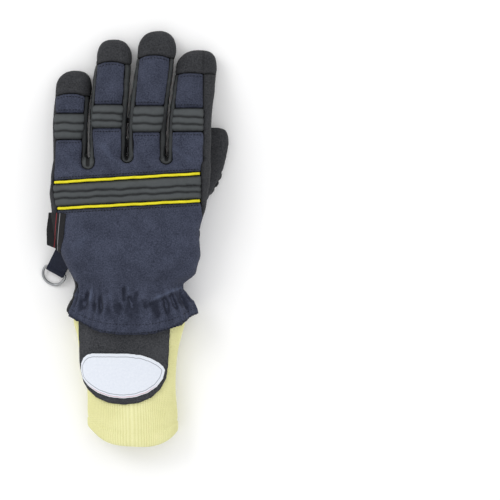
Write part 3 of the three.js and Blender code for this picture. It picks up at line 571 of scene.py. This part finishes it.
class Paint:
    """A material built from nodes, in millimetres of the piece's own coordinates."""

    def __init__(self, name):
        self.material = bpy.data.materials.new(name)
        self.material.use_nodes = True
        self.tree = self.material.node_tree
        self.shader = self.tree.nodes["Principled BSDF"]
        place = self.tree.nodes.new("ShaderNodeTexCoord").outputs["Object"]
        inputs = {"Vector": place, "Scale": 1 / MM}
        self.place = self.node("ShaderNodeVectorMath", dict(operation="SCALE"), inputs).socket
        parts = self.tree.nodes.new("ShaderNodeSeparateXYZ")
        self.tree.links.new(self.place, parts.inputs[0])
        self.x, self.y, self.z = (Value(self, parts.outputs[k]) for k in range(3))

    def node(self, kind, settings, inputs, output=0):
        """Adds a node with its settings and inputs, which are numbers, colours, sockets or values."""
        made = self.tree.nodes.new(kind)
        for name, value in settings.items():
            setattr(made, name, value)
        pairs = inputs.items() if isinstance(inputs, dict) else enumerate(inputs)
        for key, value in pairs:
            socket = value.socket if isinstance(value, Value) else value
            if isinstance(socket, bpy.types.NodeSocket):
                self.tree.links.new(socket, made.inputs[key])
            else:
                made.inputs[key].default_value = socket
        return Value(self, made.outputs[output])

    def cloud(self, size, detail=3.0, roughness=0.5):
        inputs = {"Vector": self.place, "Scale": 1 / size, "Detail": detail, "Roughness": roughness}
        return self.node("ShaderNodeTexNoise", {}, inputs)

    def cells(self, size, feature="F1"):
        inputs = {"Vector": self.place, "Scale": 1 / size}
        return self.node("ShaderNodeTexVoronoi", dict(feature=feature), inputs)

    def attribute(self, name):
        return self.node("ShaderNodeAttribute", dict(attribute_name=name), {}, output=2)

    def blend(self, share, first, second):
        """A colour between two others: the first where share is nothing, the second where it is one."""
        inputs = {0: share, 6: first, 7: second}
        return self.node("ShaderNodeMix", dict(data_type="RGBA"), inputs, output=2)

    def finish(self, base, rough, height=None, depth=0.1, **fixed):
        """Sets the surface: colour and roughness, a height in millimetres and fixed sockets."""
        for name, value in {"Base Color": base, "Roughness": rough}.items():
            if isinstance(value, Value):
                self.tree.links.new(value.socket, self.shader.inputs[name])
            else:
                self.shader.inputs[name].default_value = value
        for name, value in fixed.items():
            self.shader.inputs[name.replace("_", " ")].default_value = value
        if height is not None:
            inputs = {"Strength": 1.0, "Distance": depth * MM, "Height": height}
            raised = self.node("ShaderNodeBump", {}, inputs)
            self.tree.links.new(raised.socket, self.shader.inputs["Normal"])
        return self.material


def colour(red, green, blue, light=1.0):
    """A colour given as it looks, 0 to 255, times light, and turned into what a shader takes."""
    return (*[shader_light(part * light / 255) for part in (red, green, blue)], 1.0)


def shader_light(part):
    return part / 12.92 if part < 10 / 255 else ((part + 0.055) / 1.055) ** 2.4


def navy_cloth(name, light=1.0):
    """Woven navy cloth, with painted shade in its seams and folds and a painted highlight on the ridges.
    """
    paint = Paint(name)
    weft = (paint.x + paint.y + paint.z * 0.8).stripes(0.85)
    warp = (paint.x - paint.y * 0.35).stripes(1.1)
    weave = weft * 0.6 + warp * 0.4
    patch = paint.cloud(14.0, detail=4.0)
    fleck = paint.cloud(0.9, detail=2.0, roughness=0.7)
    relief = paint.attribute("relief")
    # Masks from the relief: painted shade where it sinks into folds and pleats, a painted highlight on
    # ridges
    dent_shade = (relief * -0.75).clamp()
    ridge_highlight = ((relief - 0.4) * 0.5).clamp()
    tone = (patch + (fleck - 0.5) * 2.6 + weave * 0.08).clamp()
    base = paint.blend(tone, colour(38, 42, 56, light), colour(70, 75, 93, light))
    # Ridges lightened: a painted highlight
    base = paint.blend(ridge_highlight * 0.7, base, colour(88, 97, 120, light))
    # Seams and folds darkened: painted shade
    base = paint.blend(paint.attribute("seam_shade").larger(dent_shade) * 0.6, base, colour(20, 23, 36))
    height = weave * 0.5 + fleck * 0.8
    return paint.finish(base, 0.9, height, 0.09, Specular_IOR_Level=0.2, Sheen_Weight=0.03)


def black_knit(name, light=1.0):
    """Black coated knit: small loops under a dull, flecked coat, with painted shade in its seams, dents
    and the slits between the fingers.
    """
    paint = Paint(name)
    loops = paint.cells(1.25)
    fleck = paint.cloud(1.1, roughness=0.75)
    patch = paint.cloud(16.0)
    # Painted shade where the relief sinks: pleats, grooves and the slits between the fingers
    dent_shade = (paint.attribute("relief") * -0.5).clamp()
    tone = ((fleck - 0.47) * 2.4 + (patch - 0.5) * 0.6 + 0.35).clamp()
    base = paint.blend(tone, colour(33, 34, 37, light), colour(66, 67, 70, light))
    # Seams and dents darkened: painted shade
    base = paint.blend(paint.attribute("seam_shade").larger(dent_shade) * 0.55, base, colour(15, 16, 18))
    height = fleck * 1.3 - loops * 0.5
    return paint.finish(base, 0.95, height, 0.22, Specular_IOR_Level=0.2, Sheen_Weight=0.03)


def grey_leather(name, low, high, shade_below):
    """Grained leather, with a painted highlight where ribs stand proud and painted shade in grooves and
    seams.
    """
    paint = Paint(name)
    grain = paint.cells(1.5, "DISTANCE_TO_EDGE")
    crease = paint.cloud(3.2, detail=4.0, roughness=0.65)
    patch = paint.cloud(15.0)
    relief = paint.attribute("relief")
    # Ribs lighter as they stand proud: a painted highlight
    rib = (relief * 0.75).clamp()
    # Painted shade where the relief drops low, in grooves and slits
    dent_shade = ((shade_below - relief) * 1.3).clamp()
    tone = (rib * 0.62 + (patch - 0.5) * 0.4 + (crease - 0.5) * 0.6 + 0.3).clamp()
    base = paint.blend(tone, low, high)
    # Grooves, slits and seams darkened: painted shade
    base = paint.blend((paint.attribute("seam_shade") * 0.7).larger(dent_shade) * 0.85, base, colour(14, 15, 17))
    height = (grain * 2.4).clamp() * 0.6 + crease * 0.6
    return paint.finish(base, 0.68 - rib * 0.08, height, 0.13, Specular_IOR_Level=0.3)


def yellow_piping(name):
    paint = Paint(name)
    braid = (paint.x + paint.z * 0.7).stripes(1.3)
    soil = ((paint.cloud(6.0) - 0.35) * 1.4).clamp()
    base = paint.blend(soil, colour(214, 203, 22), colour(244, 234, 44))
    height = braid * 0.5 + paint.cloud(1.2) * 0.5
    return paint.finish(base, 0.6, height, 0.06, Specular_IOR_Level=0.3)


def rib_knit(name):
    """Pale yellow knit, with a painted highlight on the crests of its ribs and painted shade between
    them.
    """
    paint = Paint(name)
    crest = paint.attribute("crest")
    loops = (paint.y + crest * 0.3).stripes(1.5)
    patch = paint.cloud(20.0)
    fleck = paint.cloud(1.0, detail=2.0)
    # Paler on the crests and darker in the grooves: a painted highlight and painted shade
    tone = (crest * 0.35 + (patch - 0.5) * 0.4 + (fleck - 0.5) * 0.4 + 0.34).clamp()
    base = paint.blend(tone, colour(205, 202, 138), colour(243, 241, 190))
    height = loops * 0.5 + fleck * 0.6
    return paint.finish(base, 0.95, height, 0.12, Specular_IOR_Level=0.2, Sheen_Weight=0.05)


def label_cloth(name):
    """White woven field with a grey inner line and a thin red foot, drawn by the distance to the edge."""
    paint = Paint(name)
    inside = paint.attribute("inside")
    satin = (paint.x + paint.y * 0.15).stripes(0.7)
    fleck = paint.cloud(1.5)
    base = paint.blend(fleck, colour(212, 218, 229), colour(230, 234, 242))
    base = paint.blend(inside.line(LABEL_LINE_INSET, 0.4), base, colour(118, 122, 130))
    rim = (1 - inside / 1.2).clamp()
    base = paint.blend((rim * 2.2).clamp(), base, colour(226, 231, 238))
    foot = ((LABEL_FOOT_Y - paint.y) / 6.0).clamp()
    red = inside.line(LABEL_FOOT_INSET, 0.4) * foot
    base = paint.blend(red * 0.7, base, colour(190, 72, 84))
    height = satin * 0.4 + fleck * 0.4 + rim * 0.3
    return paint.finish(base, 0.6, height, 0.08, Specular_IOR_Level=0.3)


def woven_tape(name, low, high, pitch):
    paint = Paint(name)
    across = (paint.x * 0.9 + paint.y * 0.4).stripes(pitch)
    along = (paint.y * 0.9 - paint.x * 0.4 + paint.z).stripes(pitch)
    fleck = paint.cloud(1.2)
    weave = across * along
    tone = (weave * 0.25 + (fleck - 0.5) * 1.2 + 0.5).clamp()
    height = weave * 0.6 + fleck * 0.3
    return paint.finish(paint.blend(tone, low, high), 0.85, height, 0.14, Specular_IOR_Level=0.25)


def tag_cloth(name):
    """Black woven tag, bare but for two thin woven lines along its fold."""
    paint = Paint(name)
    across = paint.x * 0.995 - paint.y * 0.1
    weave = (paint.y + paint.x * 0.1).stripes(0.9)
    fleck = paint.cloud(1.0)
    tone = ((fleck - 0.5) * 1.2 + 0.45).clamp()
    base = paint.blend(tone, colour(15, 15, 17), colour(34, 34, 37))
    base = paint.blend(across.line(TAG_RED_LINE, 0.35), base, colour(150, 34, 42))
    base = paint.blend(across.line(TAG_WHITE_LINE, 0.3) * 0.8, base, colour(178, 180, 184))
    return paint.finish(base, 0.75, weave * 0.5 + fleck * 0.4, 0.08, Specular_IOR_Level=0.25)


def steel(name):
    paint = Paint(name)
    streak = paint.cloud(0.5, detail=2.0)
    patch = paint.cloud(5.0, detail=2.0)
    base = paint.blend(patch, colour(122, 124, 126), colour(176, 178, 180))
    return paint.finish(base, 0.22 + streak * 0.16, streak, 0.01, Metallic=1.0)


def thread(name, low, high):
    paint = Paint(name)
    twist = (paint.x + paint.y + paint.z).stripes(0.5)
    base = paint.blend(paint.cloud(2.0), low, high)
    return paint.finish(base, 0.8, twist, 0.04, Specular_IOR_Level=0.25)


# Folds of the cloth: x and y of each end, width, height (a crease where it is negative)

GATHER_FOLDS = [
    (-32.1, -33, -31.2, -41, 1.6, -1.0),
    (-23.4, -41, -26.1, -53, 1.7, -1.7),
    (-28.1, -55, -26.5, -47, 2.2, -1.3),
    (-19.0, -37, -21.5, -50, 2.0, 0.9),
    (-13.8, -44, -12.1, -56, 1.6, -1.5),
    (-17.6, -50, -16.8, -57, 1.3, -0.9),
    (-7.5, -42, -8.2, -53, 1.9, 0.9),
    (-5.1, -54, -4.3, -62, 1.8, -0.8),
    (1.4, -49, 3.6, -54, 1.3, -1.2),
    (5.3, -37, 5.3, -47, 1.3, -1.6),
    (9.2, -44, 12.3, -52, 1.5, -1.5),
    (8.6, -36, 9.6, -43, 1.8, 0.9),
    (15.8, -40, 13.2, -48, 1.5, -1.2),
    (20.1, -46, 22.6, -52, 1.5, -1.2),
    (25.0, -50, 26.0, -60, 2.0, 0.8),
    (29.6, -51, 32.3, -60, 1.8, -1.3),
    (37.4, -46, 39.2, -57, 1.6, -1.5),
    (41.9, -42, 46.3, -53, 1.8, -1.6),
    (48.0, -42, 54.9, -53, 1.9, -1.4),
    (48.5, -37.5, 26.5, -47.0, 2.0, 1.3),
    (46.5, -40.5, 25.0, -50.0, 1.4, -1.2),
]
GATHER_FOLD_STRENGTH = 1.25
BACK_FOLDS = [
    (-40, -8, -20, 2, 7.0, 0.5),
    (-34, -22, -18, -12, 6.0, -0.5),
    (6, 22, 20, 8, 7.0, -0.45),
    (38, -20, 58, 2, 6.0, 0.5),
    (28, -34, 52, -18, 5.0, -0.5),
]
KNUCKLE_FOLDS = [
    (-40, 66, -28, 52, 3.0, 0.7),
    (-12, 74, -2, 60, 3.2, 0.8),
    (16, 66, 26, 54, 3.0, -0.6),
    (44, 72, 58, 60, 3.2, 0.7),
    (-20, 54, -6, 60, 3.0, -0.5),
]


def folds_at(points, folds):
    """Height of soft folds, each a ridge along a line that fades at its ends."""
    total = np.zeros(len(points))
    for x0, y0, x1, y1, width, height in folds:
        along = np.array([x1 - x0, y1 - y0], float)
        length = np.linalg.norm(along)
        along /= length
        gone = points[:, :2] - [x0, y0]
        t = gone @ along / length
        off = gone @ np.array([-along[1], along[0]])
        reach = smooth(t * 3 + 0.6) * smooth((1 - t) * 3 + 0.6)
        total += height * reach * bump(off / width)
    return total


# Relief of each panel: how far its cloth stands off the smooth form

def gathered(angle, row_y, depth):
    """Small pleats round the waist, where the elastic draws the cloth in, and the elastic's groove."""
    pleats = np.sin(PLEATS * angle + 2.6 * np.sin(3 * angle) + 1.4 * np.sin(7 * angle))
    at_elastic = bump((row_y - PLEATS_Y) / 7.0)
    below = smooth((CRINKLE_Y - row_y) / 8)
    return depth * pleats * (at_elastic + 0.5 * below) - ELASTIC_DEPTH * bump((row_y - ELASTIC_Y) / 2.4)


def cloth_relief(points):
    """Navy cloth of the back: soft folds, and pleats where the elastic gathers it."""
    _, angle, row_y = hand_frame(points)
    crinkle = 0.75 * billow(points, size=3.4, seed=21) * bump((row_y - CRINKLE_Y) / 8.0)
    folds = GATHER_FOLD_STRENGTH * folds_at(points, GATHER_FOLDS) + folds_at(points, BACK_FOLDS)
    uneven = 0.4 * billow(points, size=20.0, seed=3) + 0.2 * billow(points, size=6.0, seed=4)
    return gathered(angle, row_y, 0.7) + folds + crinkle + uneven


def knuckle_relief(points):
    uneven = 0.45 * billow(points, size=14.0, seed=5) + 0.15 * billow(points, size=5.0, seed=6)
    return folds_at(points, KNUCKLE_FOLDS) + uneven


def finger_relief(points):
    return 0.3 * billow(points, size=9.0, seed=7) + 0.14 * billow(points, size=4.0, seed=8)


def index_cap_relief(points):
    return finger_relief(points) - 1.1 * bump((points[:, 0] - CAP_SEAM_X) / 0.75)


def knit_relief(points):
    """Soft unevenness, and the gather where the cloth runs on round the waist."""
    _, angle, row_y = hand_frame(points)
    at_waist = points[:, 1] < GATHER_TOP
    return 0.4 * billow(points, size=11.0, seed=10) + gathered(angle, row_y, 0.9) * at_waist


def thumb_cloth_relief(points):
    folds = 0.35 * np.sin(points[:, 1] * 0.42 + 2.2 * billow(points, size=16.0, seed=9))
    return folds + knit_relief(points)


def off_slit(crotch, points):
    """Distance of points from the slit between two fingers, and how far they lie up from its start."""
    left, right, start = CROTCHES[crotch]
    y = points[:, 1]
    middle = (column(FINGERS[left]["rows"], 2, y) + column(FINGERS[right]["rows"], 1, y)) / 2
    return np.abs(points[:, 0] - middle), smooth((y - start) / SLIT_START + 0.5)


def crotch_relief(crotch):
    """Strips between two fingers, with the slit that parts them drawn on to its lower end."""
    def relief(points):
        off, along = off_slit(crotch, points)
        return finger_relief(points) - SLIT_DEPTH * bump(off / SLIT_WIDTH) * along
    return relief


def slit_shade(points):
    """Darkening down in the slits between the fingers."""
    shades = []
    for crotch in CROTCHES:
        off, along = off_slit(crotch, points)
        shades.append(SLIT_SHADE_STRENGTH * (1 - smooth((off - 0.7) / 1.6)) * along)
    return np.max(shades, axis=0)


def ribs_between(points, low, high, grooves, height):
    """Flat ribs parted by narrow grooves, between two heights y that may vary over the width."""
    x, y = points[:, 0], points[:, 1]
    span = high - low
    t = (y - low) / span
    crown = height * (1 - np.abs(2 * np.clip(t, 0, 1) - 1) ** 6)
    wander = 0.3 * np.sin(x * 0.21 + 1) + 0.2 * np.sin(x * 0.5)
    for groove in grooves:
        off = (t + wander / span - line_at(groove, x)) * span
        crown = crown - height * 0.95 * bump(off / GROOVE_WIDTH)
    return 0.1 + np.maximum(crown, -0.1) + 0.1 * billow(points, size=7.0, seed=11)


def guard_relief(points):
    edge = PIPING_RADIUS + 0.3
    low = line_at(PIPING_LOW, points[:, 0]) + edge
    high = line_at(PIPING_HIGH, points[:, 0]) - edge
    return ribs_between(points, low, high, GUARD_GROOVES, GUARD_RIB)


def pad_relief(finger):
    low, high = FINGERS[finger]["pad"]

    def relief(points):
        return ribs_between(points, low, high, PAD_GROOVES, PAD_RIB)
    return relief


def thumb_pad_relief(points):
    low = line_at(THUMB_PAD_LOW, points[:, 0], THUMB_PAD_X)
    high = line_at(THUMB_PAD_HIGH, points[:, 0], THUMB_PAD_X)
    return ribs_between(points, low, high, PAD_GROOVES, THUMB_PAD_RIB) - 0.3


# Panels of the shell

def panel(name, material, relief, voxel=PANEL_VOXEL, others=(), grow=0.0, curl=CURL, shade=None):
    """A sewn panel: its node, and any others it takes in, with their outer side laid on the smooth
    form with relief. The relief, lowered by any painted slit shade, and the nearness of a seam are kept
    for the material, which paints shade and highlights from them."""
    nodes = [name, *others]
    obj, points = soft_copy(name + "_cloth", nodes, voxel, smoothing=3, grow=grow)
    apart, way = glove_skin(points)
    facing = (normals_of(obj) * way).sum(axis=1)
    outer = smooth((apart + WALL * OUTER_DEPTH) / (WALL * OUTER_FADE))
    rim = (facing < RIM_FACING) & (apart > -WALL * RIM_DEPTH)
    edge = distance_to(points, points[rim])
    moved = outer > 0.001
    height = np.zeros(len(points))
    height[moved] = relief(points[moved])
    lift = height + PUFF * (1 - bump(edge / PUFF_REACH)) - curl * bump(edge / CURL_REACH)
    points[moved] += (way * (outer * (lift - apart))[:, None])[moved]
    set_points(obj, points)
    # Painted shade along the panel's seams, for the material
    keep_attribute(obj, "seam_shade", bump(edge / SEAM_SHADE_REACH))
    darkening = shade(points) if shade else 0
    # The relief kept for the material is lowered by the painted shade in the slits
    keep_attribute(obj, "relief", height * outer - darkening)
    finish_piece(obj, nodes, "glove", material)


def make_shell():
    navy = navy_cloth("navy_cloth")
    finger_navy = navy_cloth("navy_cloth_fingers", 0.96)
    knit = black_knit("black_coated_knit")
    leather = grey_leather("ribbed_grey_leather", colour(34, 36, 38), colour(68, 72, 74), 0.9)
    strips = grey_leather("grey_leather_strips", colour(40, 42, 44), colour(88, 92, 93), -0.3)
    panel("lower_back", navy, cloth_relief, voxel=0.8)
    panel("upper_back", navy, knuckle_relief)
    panel("thumb_base", navy, thumb_cloth_relief, voxel=0.9)
    for finger in FINGERS:
        panel(f"finger_back_{finger}", finger_navy, finger_relief, voxel=1.0)
        panel(f"flex_pad_{finger}", leather, pad_relief(finger), voxel=0.7)
        cap_relief = index_cap_relief if finger == "index" else finger_relief
        panel(f"cap_{finger}", knit, cap_relief, voxel=0.9, curl=SOFT_CURL)
    for crotch in CROTCHES:
        panel(crotch, strips, crotch_relief(crotch), voxel=0.8, curl=SOFT_CURL,
              shade=slit_shade)
    panel("knuckle_guard", leather, guard_relief, voxel=0.75)
    fronts = [f"finger_front_{finger}" for finger in FINGERS]
    panel("palm", knit, knit_relief, others=fronts, grow=SEAM_CLOSE, shade=slit_shade)
    panel("thumb_front", knit, finger_relief)
    panel("thumb_pad", leather, thumb_pad_relief, voxel=0.75)
    panel("thumb_tip_back", knit, finger_relief, voxel=0.9)


# Piping: a round cord laid along the guard's two edges

def make_piping():
    yellow = yellow_piping("yellow_piping")
    for name, line in (("piping_upper", PIPING_HIGH), ("piping_lower", PIPING_LOW)):
        x = np.linspace(guard_left(line[0]) + PIPING_INSET, GUARD_X[1] - PIPING_INSET, 90)
        wander = 0.1 * np.sin(x * 0.21) + 0.06 * np.sin(x * 0.53 + 1)
        path, _ = height_over(x, line_at(line, x) + wander, PIPING_LIFT)
        obj = round_cord(name + "_cord", path, PIPING_RADIUS * PIPING_FULLNESS)
        finish_piece(obj, [name], "glove", yellow)


def round_cord(name, path, radius):
    """A round cord along points, made from a curve with a bevel and closed at its ends."""
    curve = bpy.data.curves.new(name, "CURVE")
    curve.dimensions = "3D"
    curve.bevel_depth = radius * MM
    curve.bevel_resolution = 3
    curve.use_fill_caps = True
    spline = curve.splines.new("POLY")
    spline.points.add(len(path) - 1)
    for point, place in zip(spline.points, (path + SHIFT) * MM):
        point.co = (*place, 1.0)
    obj = bpy.data.objects.new(name, curve)
    bpy.context.scene.collection.objects.link(obj)
    select_only(obj)
    bpy.ops.object.convert(target="MESH")
    obj = bpy.context.view_layer.objects.active
    edit_all(obj, merge_doubles(1e-7), FACE_OUT)
    return obj


# Wristlet

def cuff_floor(x):
    """How far the palm tab lifts the wristlet's lower side."""
    from_left = smooth((x - TAB_SIDES[0] + TAB_SLOPE_START) / TAB_SLOPE_LENGTH)
    from_right = smooth((TAB_SIDES[1] + TAB_SLOPE_START - x) / TAB_SLOPE_LENGTH)
    return TAB_LIFT * from_left * from_right


def cuff_ring(y, angles, grow, floor_lift):
    """Points round the wristlet at y, its section grown by grow and held above the floor."""
    middle_x, wide, middle_z, high = (float(v) for v in cuff_sections(np.array(y, float)))
    power = 2 / CUFF_ROUNDNESS
    c = signed_power(np.cos(angles), power)
    s = signed_power(np.sin(angles), power)
    x = middle_x + c * (wide + grow)
    z = middle_z + s * (high + grow)
    at_end = float(smooth((BOW_FROM_Y - y) / BOW_LENGTH))
    bow = at_end * (CUFF_BOW * np.abs(c) ** CUFF_BOW_POWER - CUFF_SKEW * c)
    return np.column_stack([x, y + bow, np.maximum(z, cuff_floor(x) + floor_lift)])


def outer_growth(y, angles, crest):
    """How the knit's outer side stands off its section: ribs, a soft sag and the doubled open edge."""
    sag = 0.35 * np.sin(angles * 5 + y * 0.05) * float(smooth((-60 - y) / 30))
    doubled = 0.5 * float(smooth((DOUBLED_EDGE_Y - 0.5 - y) / 1.6))
    stitched_down = -0.45 * float(bump((y - DOUBLED_EDGE_Y) / 1.1))
    tucked_in = -1.1 * float(smooth(CUFF_OPEN_Y + 0.4 - y))
    return -0.45 + crest * RIB_DEPTH + sag + doubled + stitched_down + tucked_in


def make_wristlet():
    """Rib-knitted tube: the ribs are folded into its outer side, with a doubled edge at its open end."""
    count = CUFF_RIBS * POINTS_PER_RIB
    angles = np.arange(count) / count * 2 * math.pi
    crest = 0.5 + 0.5 * np.cos(angles * CUFF_RIBS)
    outer_y = [CUFF_OPEN_Y - 0.6, *np.linspace(CUFF_OPEN_Y, CUFF_HIDDEN_Y, 58), CUFF_HIDDEN_Y + 1]
    inner_y = np.linspace(CUFF_HIDDEN_Y + 0.6, CUFF_OPEN_Y - 0.2, 22)
    rings = [cuff_ring(y, angles, outer_growth(y, angles, crest), 0.0) for y in outer_y]
    rings += [cuff_ring(y, angles, -CUFF_WALL - 0.3 * crest, CUFF_WALL) for y in inner_y]
    faces = []
    for r in range(len(rings)):
        a = r * count
        b = (r + 1) % len(rings) * count
        faces += [(a + i, a + (i + 1) % count, b + (i + 1) % count, b + i) for i in range(count)]
    obj = mesh_object("wristlet_knit", (np.vstack(rings) + SHIFT) * MM, faces)
    keep_attribute(obj, "crest", np.tile(crest, len(rings)))
    edit_all(obj, FACE_OUT)
    set_points(obj, points_of(obj))
    finish_piece(obj, ["wristlet"], "glove", rib_knit("rib_knit"))


# Tabs, label, tag and webbing

def laid_piece(name, node, material, heights, voxel):
    """A flat piece lying on the wristlet: both of its sides follow the smooth form."""
    low, high = heights
    obj, points = soft_copy(name, [node], voxel, smoothing=5)
    apart, way = cuff_skin(points)
    share = smooth((apart - low + 0.35) / (high - low))
    facing = (normals_of(obj) * way).sum(axis=1)
    edge = distance_to(points, points[np.abs(facing) < 0.5])
    uneven = 0.15 * billow(points, size=9.0, seed=12)
    target = low + share * (high - low - ROUNDED_EDGE * bump(edge / 0.7) + uneven)
    set_points(obj, points + way * (target - apart)[:, None])
    # Painted shade along the piece's edges, for a material that reads it
    keep_attribute(obj, "seam_shade", bump(edge))
    keep_attribute(obj, "inside", edge)
    finish_piece(obj, [node], "glove", material)


def plain_piece(node, material, voxel):
    """A small cloth piece: the node's solid with rounded, slightly uneven edges."""
    obj, points = soft_copy(node + "_cloth", [node], voxel, smoothing=4)
    lift = 0.12 * billow(points, size=4.0, seed=13)
    set_points(obj, points + normals_of(obj) * lift[:, None])
    finish_piece(obj, [node], "glove", material)


def make_tabs():
    tab_knit = black_knit("black_tab_knit", 1.18)
    laid_piece("wrist_tab_back_knit", "wrist_tab_back", tab_knit, BACK_TAB_HEIGHTS, 0.75)
    label = label_cloth("woven_label")
    laid_piece("oval_label_cloth", "oval_label", label, LABEL_HEIGHTS, 0.5)
    plain_piece("wrist_tab_palm", tab_knit, 0.7)
    tape = woven_tape("black_tape", colour(18, 18, 20), colour(44, 44, 47), 1.4)
    plain_piece("pull_loop", tape, 0.4)
    plain_piece("side_label", tag_cloth("side_tag"), 0.4)
    webbing = woven_tape("navy_webbing", colour(16, 19, 29), colour(38, 43, 60), 1.5)
    plain_piece("ring_tab", webbing, 0.5)


def make_ring():
    """The D-ring's wire, rounded from the part's ring."""
    obj = cad_copy("d_ring_wire", ["d_ring"])
    edit_all(obj, MAKE_QUADS)
    apply(obj, "SUBSURF", levels=2, render_levels=2)
    apply(obj, "DISPLACE", strength=0.15 * MM, mid_level=0.0)
    finish_piece(obj, ["d_ring"], "ring", steel("polished_steel"))


# Stitches

def stitch_mesh():
    """One stitch's points and faces: a small round bead of radius one."""
    bpy.ops.object.select_all(action="DESELECT")
    bpy.ops.mesh.primitive_uv_sphere_add(segments=6, ring_count=4, radius=1.0)
    obj = bpy.context.view_layer.objects.active
    points = np.array([v.co for v in obj.data.vertices])
    faces = [tuple(p.vertices) for p in obj.data.polygons]
    bpy.data.objects.remove(obj)
    return points, faces


def spaced(path, pitch):
    """Middles and directions of stitches along a path of points."""
    steps = np.linalg.norm(np.diff(path, axis=0), axis=1)
    run = np.concatenate([[0], np.cumsum(steps)])
    count = max(int(run[-1] / pitch), 1)
    at = (np.arange(count) + 0.5) * run[-1] / count

    def place_at(gone):
        return np.column_stack([np.interp(gone, run, path[:, k]) for k in range(3)])
    along = place_at(at + 0.3) - place_at(at - 0.3)
    return place_at(at), along / np.maximum(np.linalg.norm(along, axis=1), TINY)[:, None]


def sew(name, rows, material, slot, lift, length, thickness):
    """Rows of stitches as one mesh; each row gives x, y and the relief of the cloth it lies on."""
    bead, bead_faces = stitch_mesh()
    bead = bead * np.array([length, thickness, thickness]) / 2
    vertices, faces = [], []
    for x, y, relief in rows:
        path, way = height_over(x, y)
        path = path + way * (relief(path) + lift)[:, None]
        places, along = spaced(path, length * STITCH_SPACING)
        _, out = glove_skin(places)
        side = np.cross(out, along)
        for place, *axes in zip(places, along, side, out):
            start = len(vertices)
            vertices += list((bead @ np.array(axes) + place + SHIFT) * MM)
            faces += [tuple(start + i for i in face) for face in bead_faces]
    finish_piece(mesh_object(name, vertices, faces), [], "glove", material)


def hem_row(back):
    """x, y of a row round the back of the gauntlet, back millimetres up from its edge."""
    margin = 0.16
    angles = np.linspace(margin, math.pi - margin, 120)
    row_y = HEM_Y + back * HEM_ROW_SHARE
    left, right = float(column(HAND_ROWS, 1, row_y)), float(column(HAND_ROWS, 2, row_y))
    c = signed_power(np.cos(angles), 2 / HAND_ROUNDNESS)
    reach = HEM_Y - HEM_DIP * (1 - np.abs(c) ** HEM_DIP_POWER)
    y = WAIST_Y + (row_y - WAIST_Y) * (reach - WAIST_Y) / (HEM_Y - WAIST_Y)
    return (left + right) / 2 + c * (right - left) / 2, y


def finger_rows():
    """Stitches of each finger: below and above its pad, and under its cap's arched seam."""
    rows = []
    across = np.linspace(0.04, 0.96, 24)
    for digit in FINGERS.values():
        low, high = digit["pad"]
        left, right = digit["at_pad"]
        x = left + (right - left) * across
        rows.append((x, np.full(len(x), low - PAD_STITCH_OFF), knuckle_relief))
        rows.append((x, np.full(len(x), high + PAD_STITCH_OFF), finger_relief))
        left, right = digit["at_cap"]
        arch = digit["arch"] * 4 * across * (1 - across)
        rows.append((left + (right - left) * across, digit["cap"] - CAP_STITCH_OFF + arch, finger_relief))
    return rows


def make_stitches():
    dark = thread("dark_thread", colour(10, 11, 16), colour(24, 26, 34))
    x = np.linspace(GUARD_LEFT_LOW, GUARD_X[1] - 1, 90)
    above_guard = (x, line_at(PIPING_HIGH, x) + GUARD_STITCH_OFF, knuckle_relief)
    below_guard = (x, line_at(PIPING_LOW, x) - GUARD_STITCH_OFF, cloth_relief)
    sew("guard_stitches", [above_guard, below_guard], dark, "navy_cloth", **STITCH)
    hem = [(*hem_row(back), cloth_relief) for back in HEM_STITCH_ROWS]
    sew("hem_stitches", hem, dark, "navy_cloth", **HEM_STITCH)
    sew("finger_stitches", finger_rows(), dark, "navy_cloth", **STITCH)


# Floor, light and camera

def make_floor():
    paint = Paint("pale_floor")
    tone = paint.blend(paint.cloud(300.0), *FLOOR_TONES)
    bpy.ops.object.select_all(action="DESELECT")
    bpy.ops.mesh.primitive_plane_add(size=FLOOR_SIZE, location=(0, 0, 0))
    floor = bpy.context.view_layer.objects.active
    floor.name = "floor"
    floor.data.materials.append(paint.finish(tone, 0.9))


def make_light():
    world = bpy.data.worlds.new("studio")
    world.use_nodes = True
    sky = world.node_tree.nodes["Background"]
    sky.inputs["Color"].default_value = (1, 1, 1, 1)
    sky.inputs["Strength"].default_value = SKY_STRENGTH
    bpy.context.scene.world = world
    bpy.context.scene.view_settings.view_transform = "Standard"
    soft_light("window", **WINDOW)
    soft_light("fill", **FILL)


def soft_light(name, place, size, power):
    data = bpy.data.lights.new(name, "AREA")
    data.shape = "SQUARE"
    data.size = size
    data.energy = power
    lamp = bpy.data.objects.new(name, data)
    lamp.location = place
    lamp.rotation_euler = (-Vector(place)).to_track_quat("-Z", "Y").to_euler()
    bpy.context.scene.collection.objects.link(lamp)


def make_camera():
    """Looks straight down, from where the framed width just fills the picture."""
    frame_middle = (np.array(FRAME_MIDDLE) + SHIFT[:2]) * MM
    data = bpy.data.cameras.new("camera")
    data.lens = LENS
    data.sensor_width = SENSOR
    camera = bpy.data.objects.new("camera", data)
    distance = FRAME_WIDTH * MM * LENS / SENSOR
    camera.location = (*frame_middle, distance + FRAMED_HEIGHT * MM)
    bpy.context.scene.collection.objects.link(camera)
    bpy.context.scene.camera = camera


make_floor()
make_light()
make_camera()
make_shell()
make_piping()
make_wristlet()
make_tabs()
make_ring()
make_stitches()
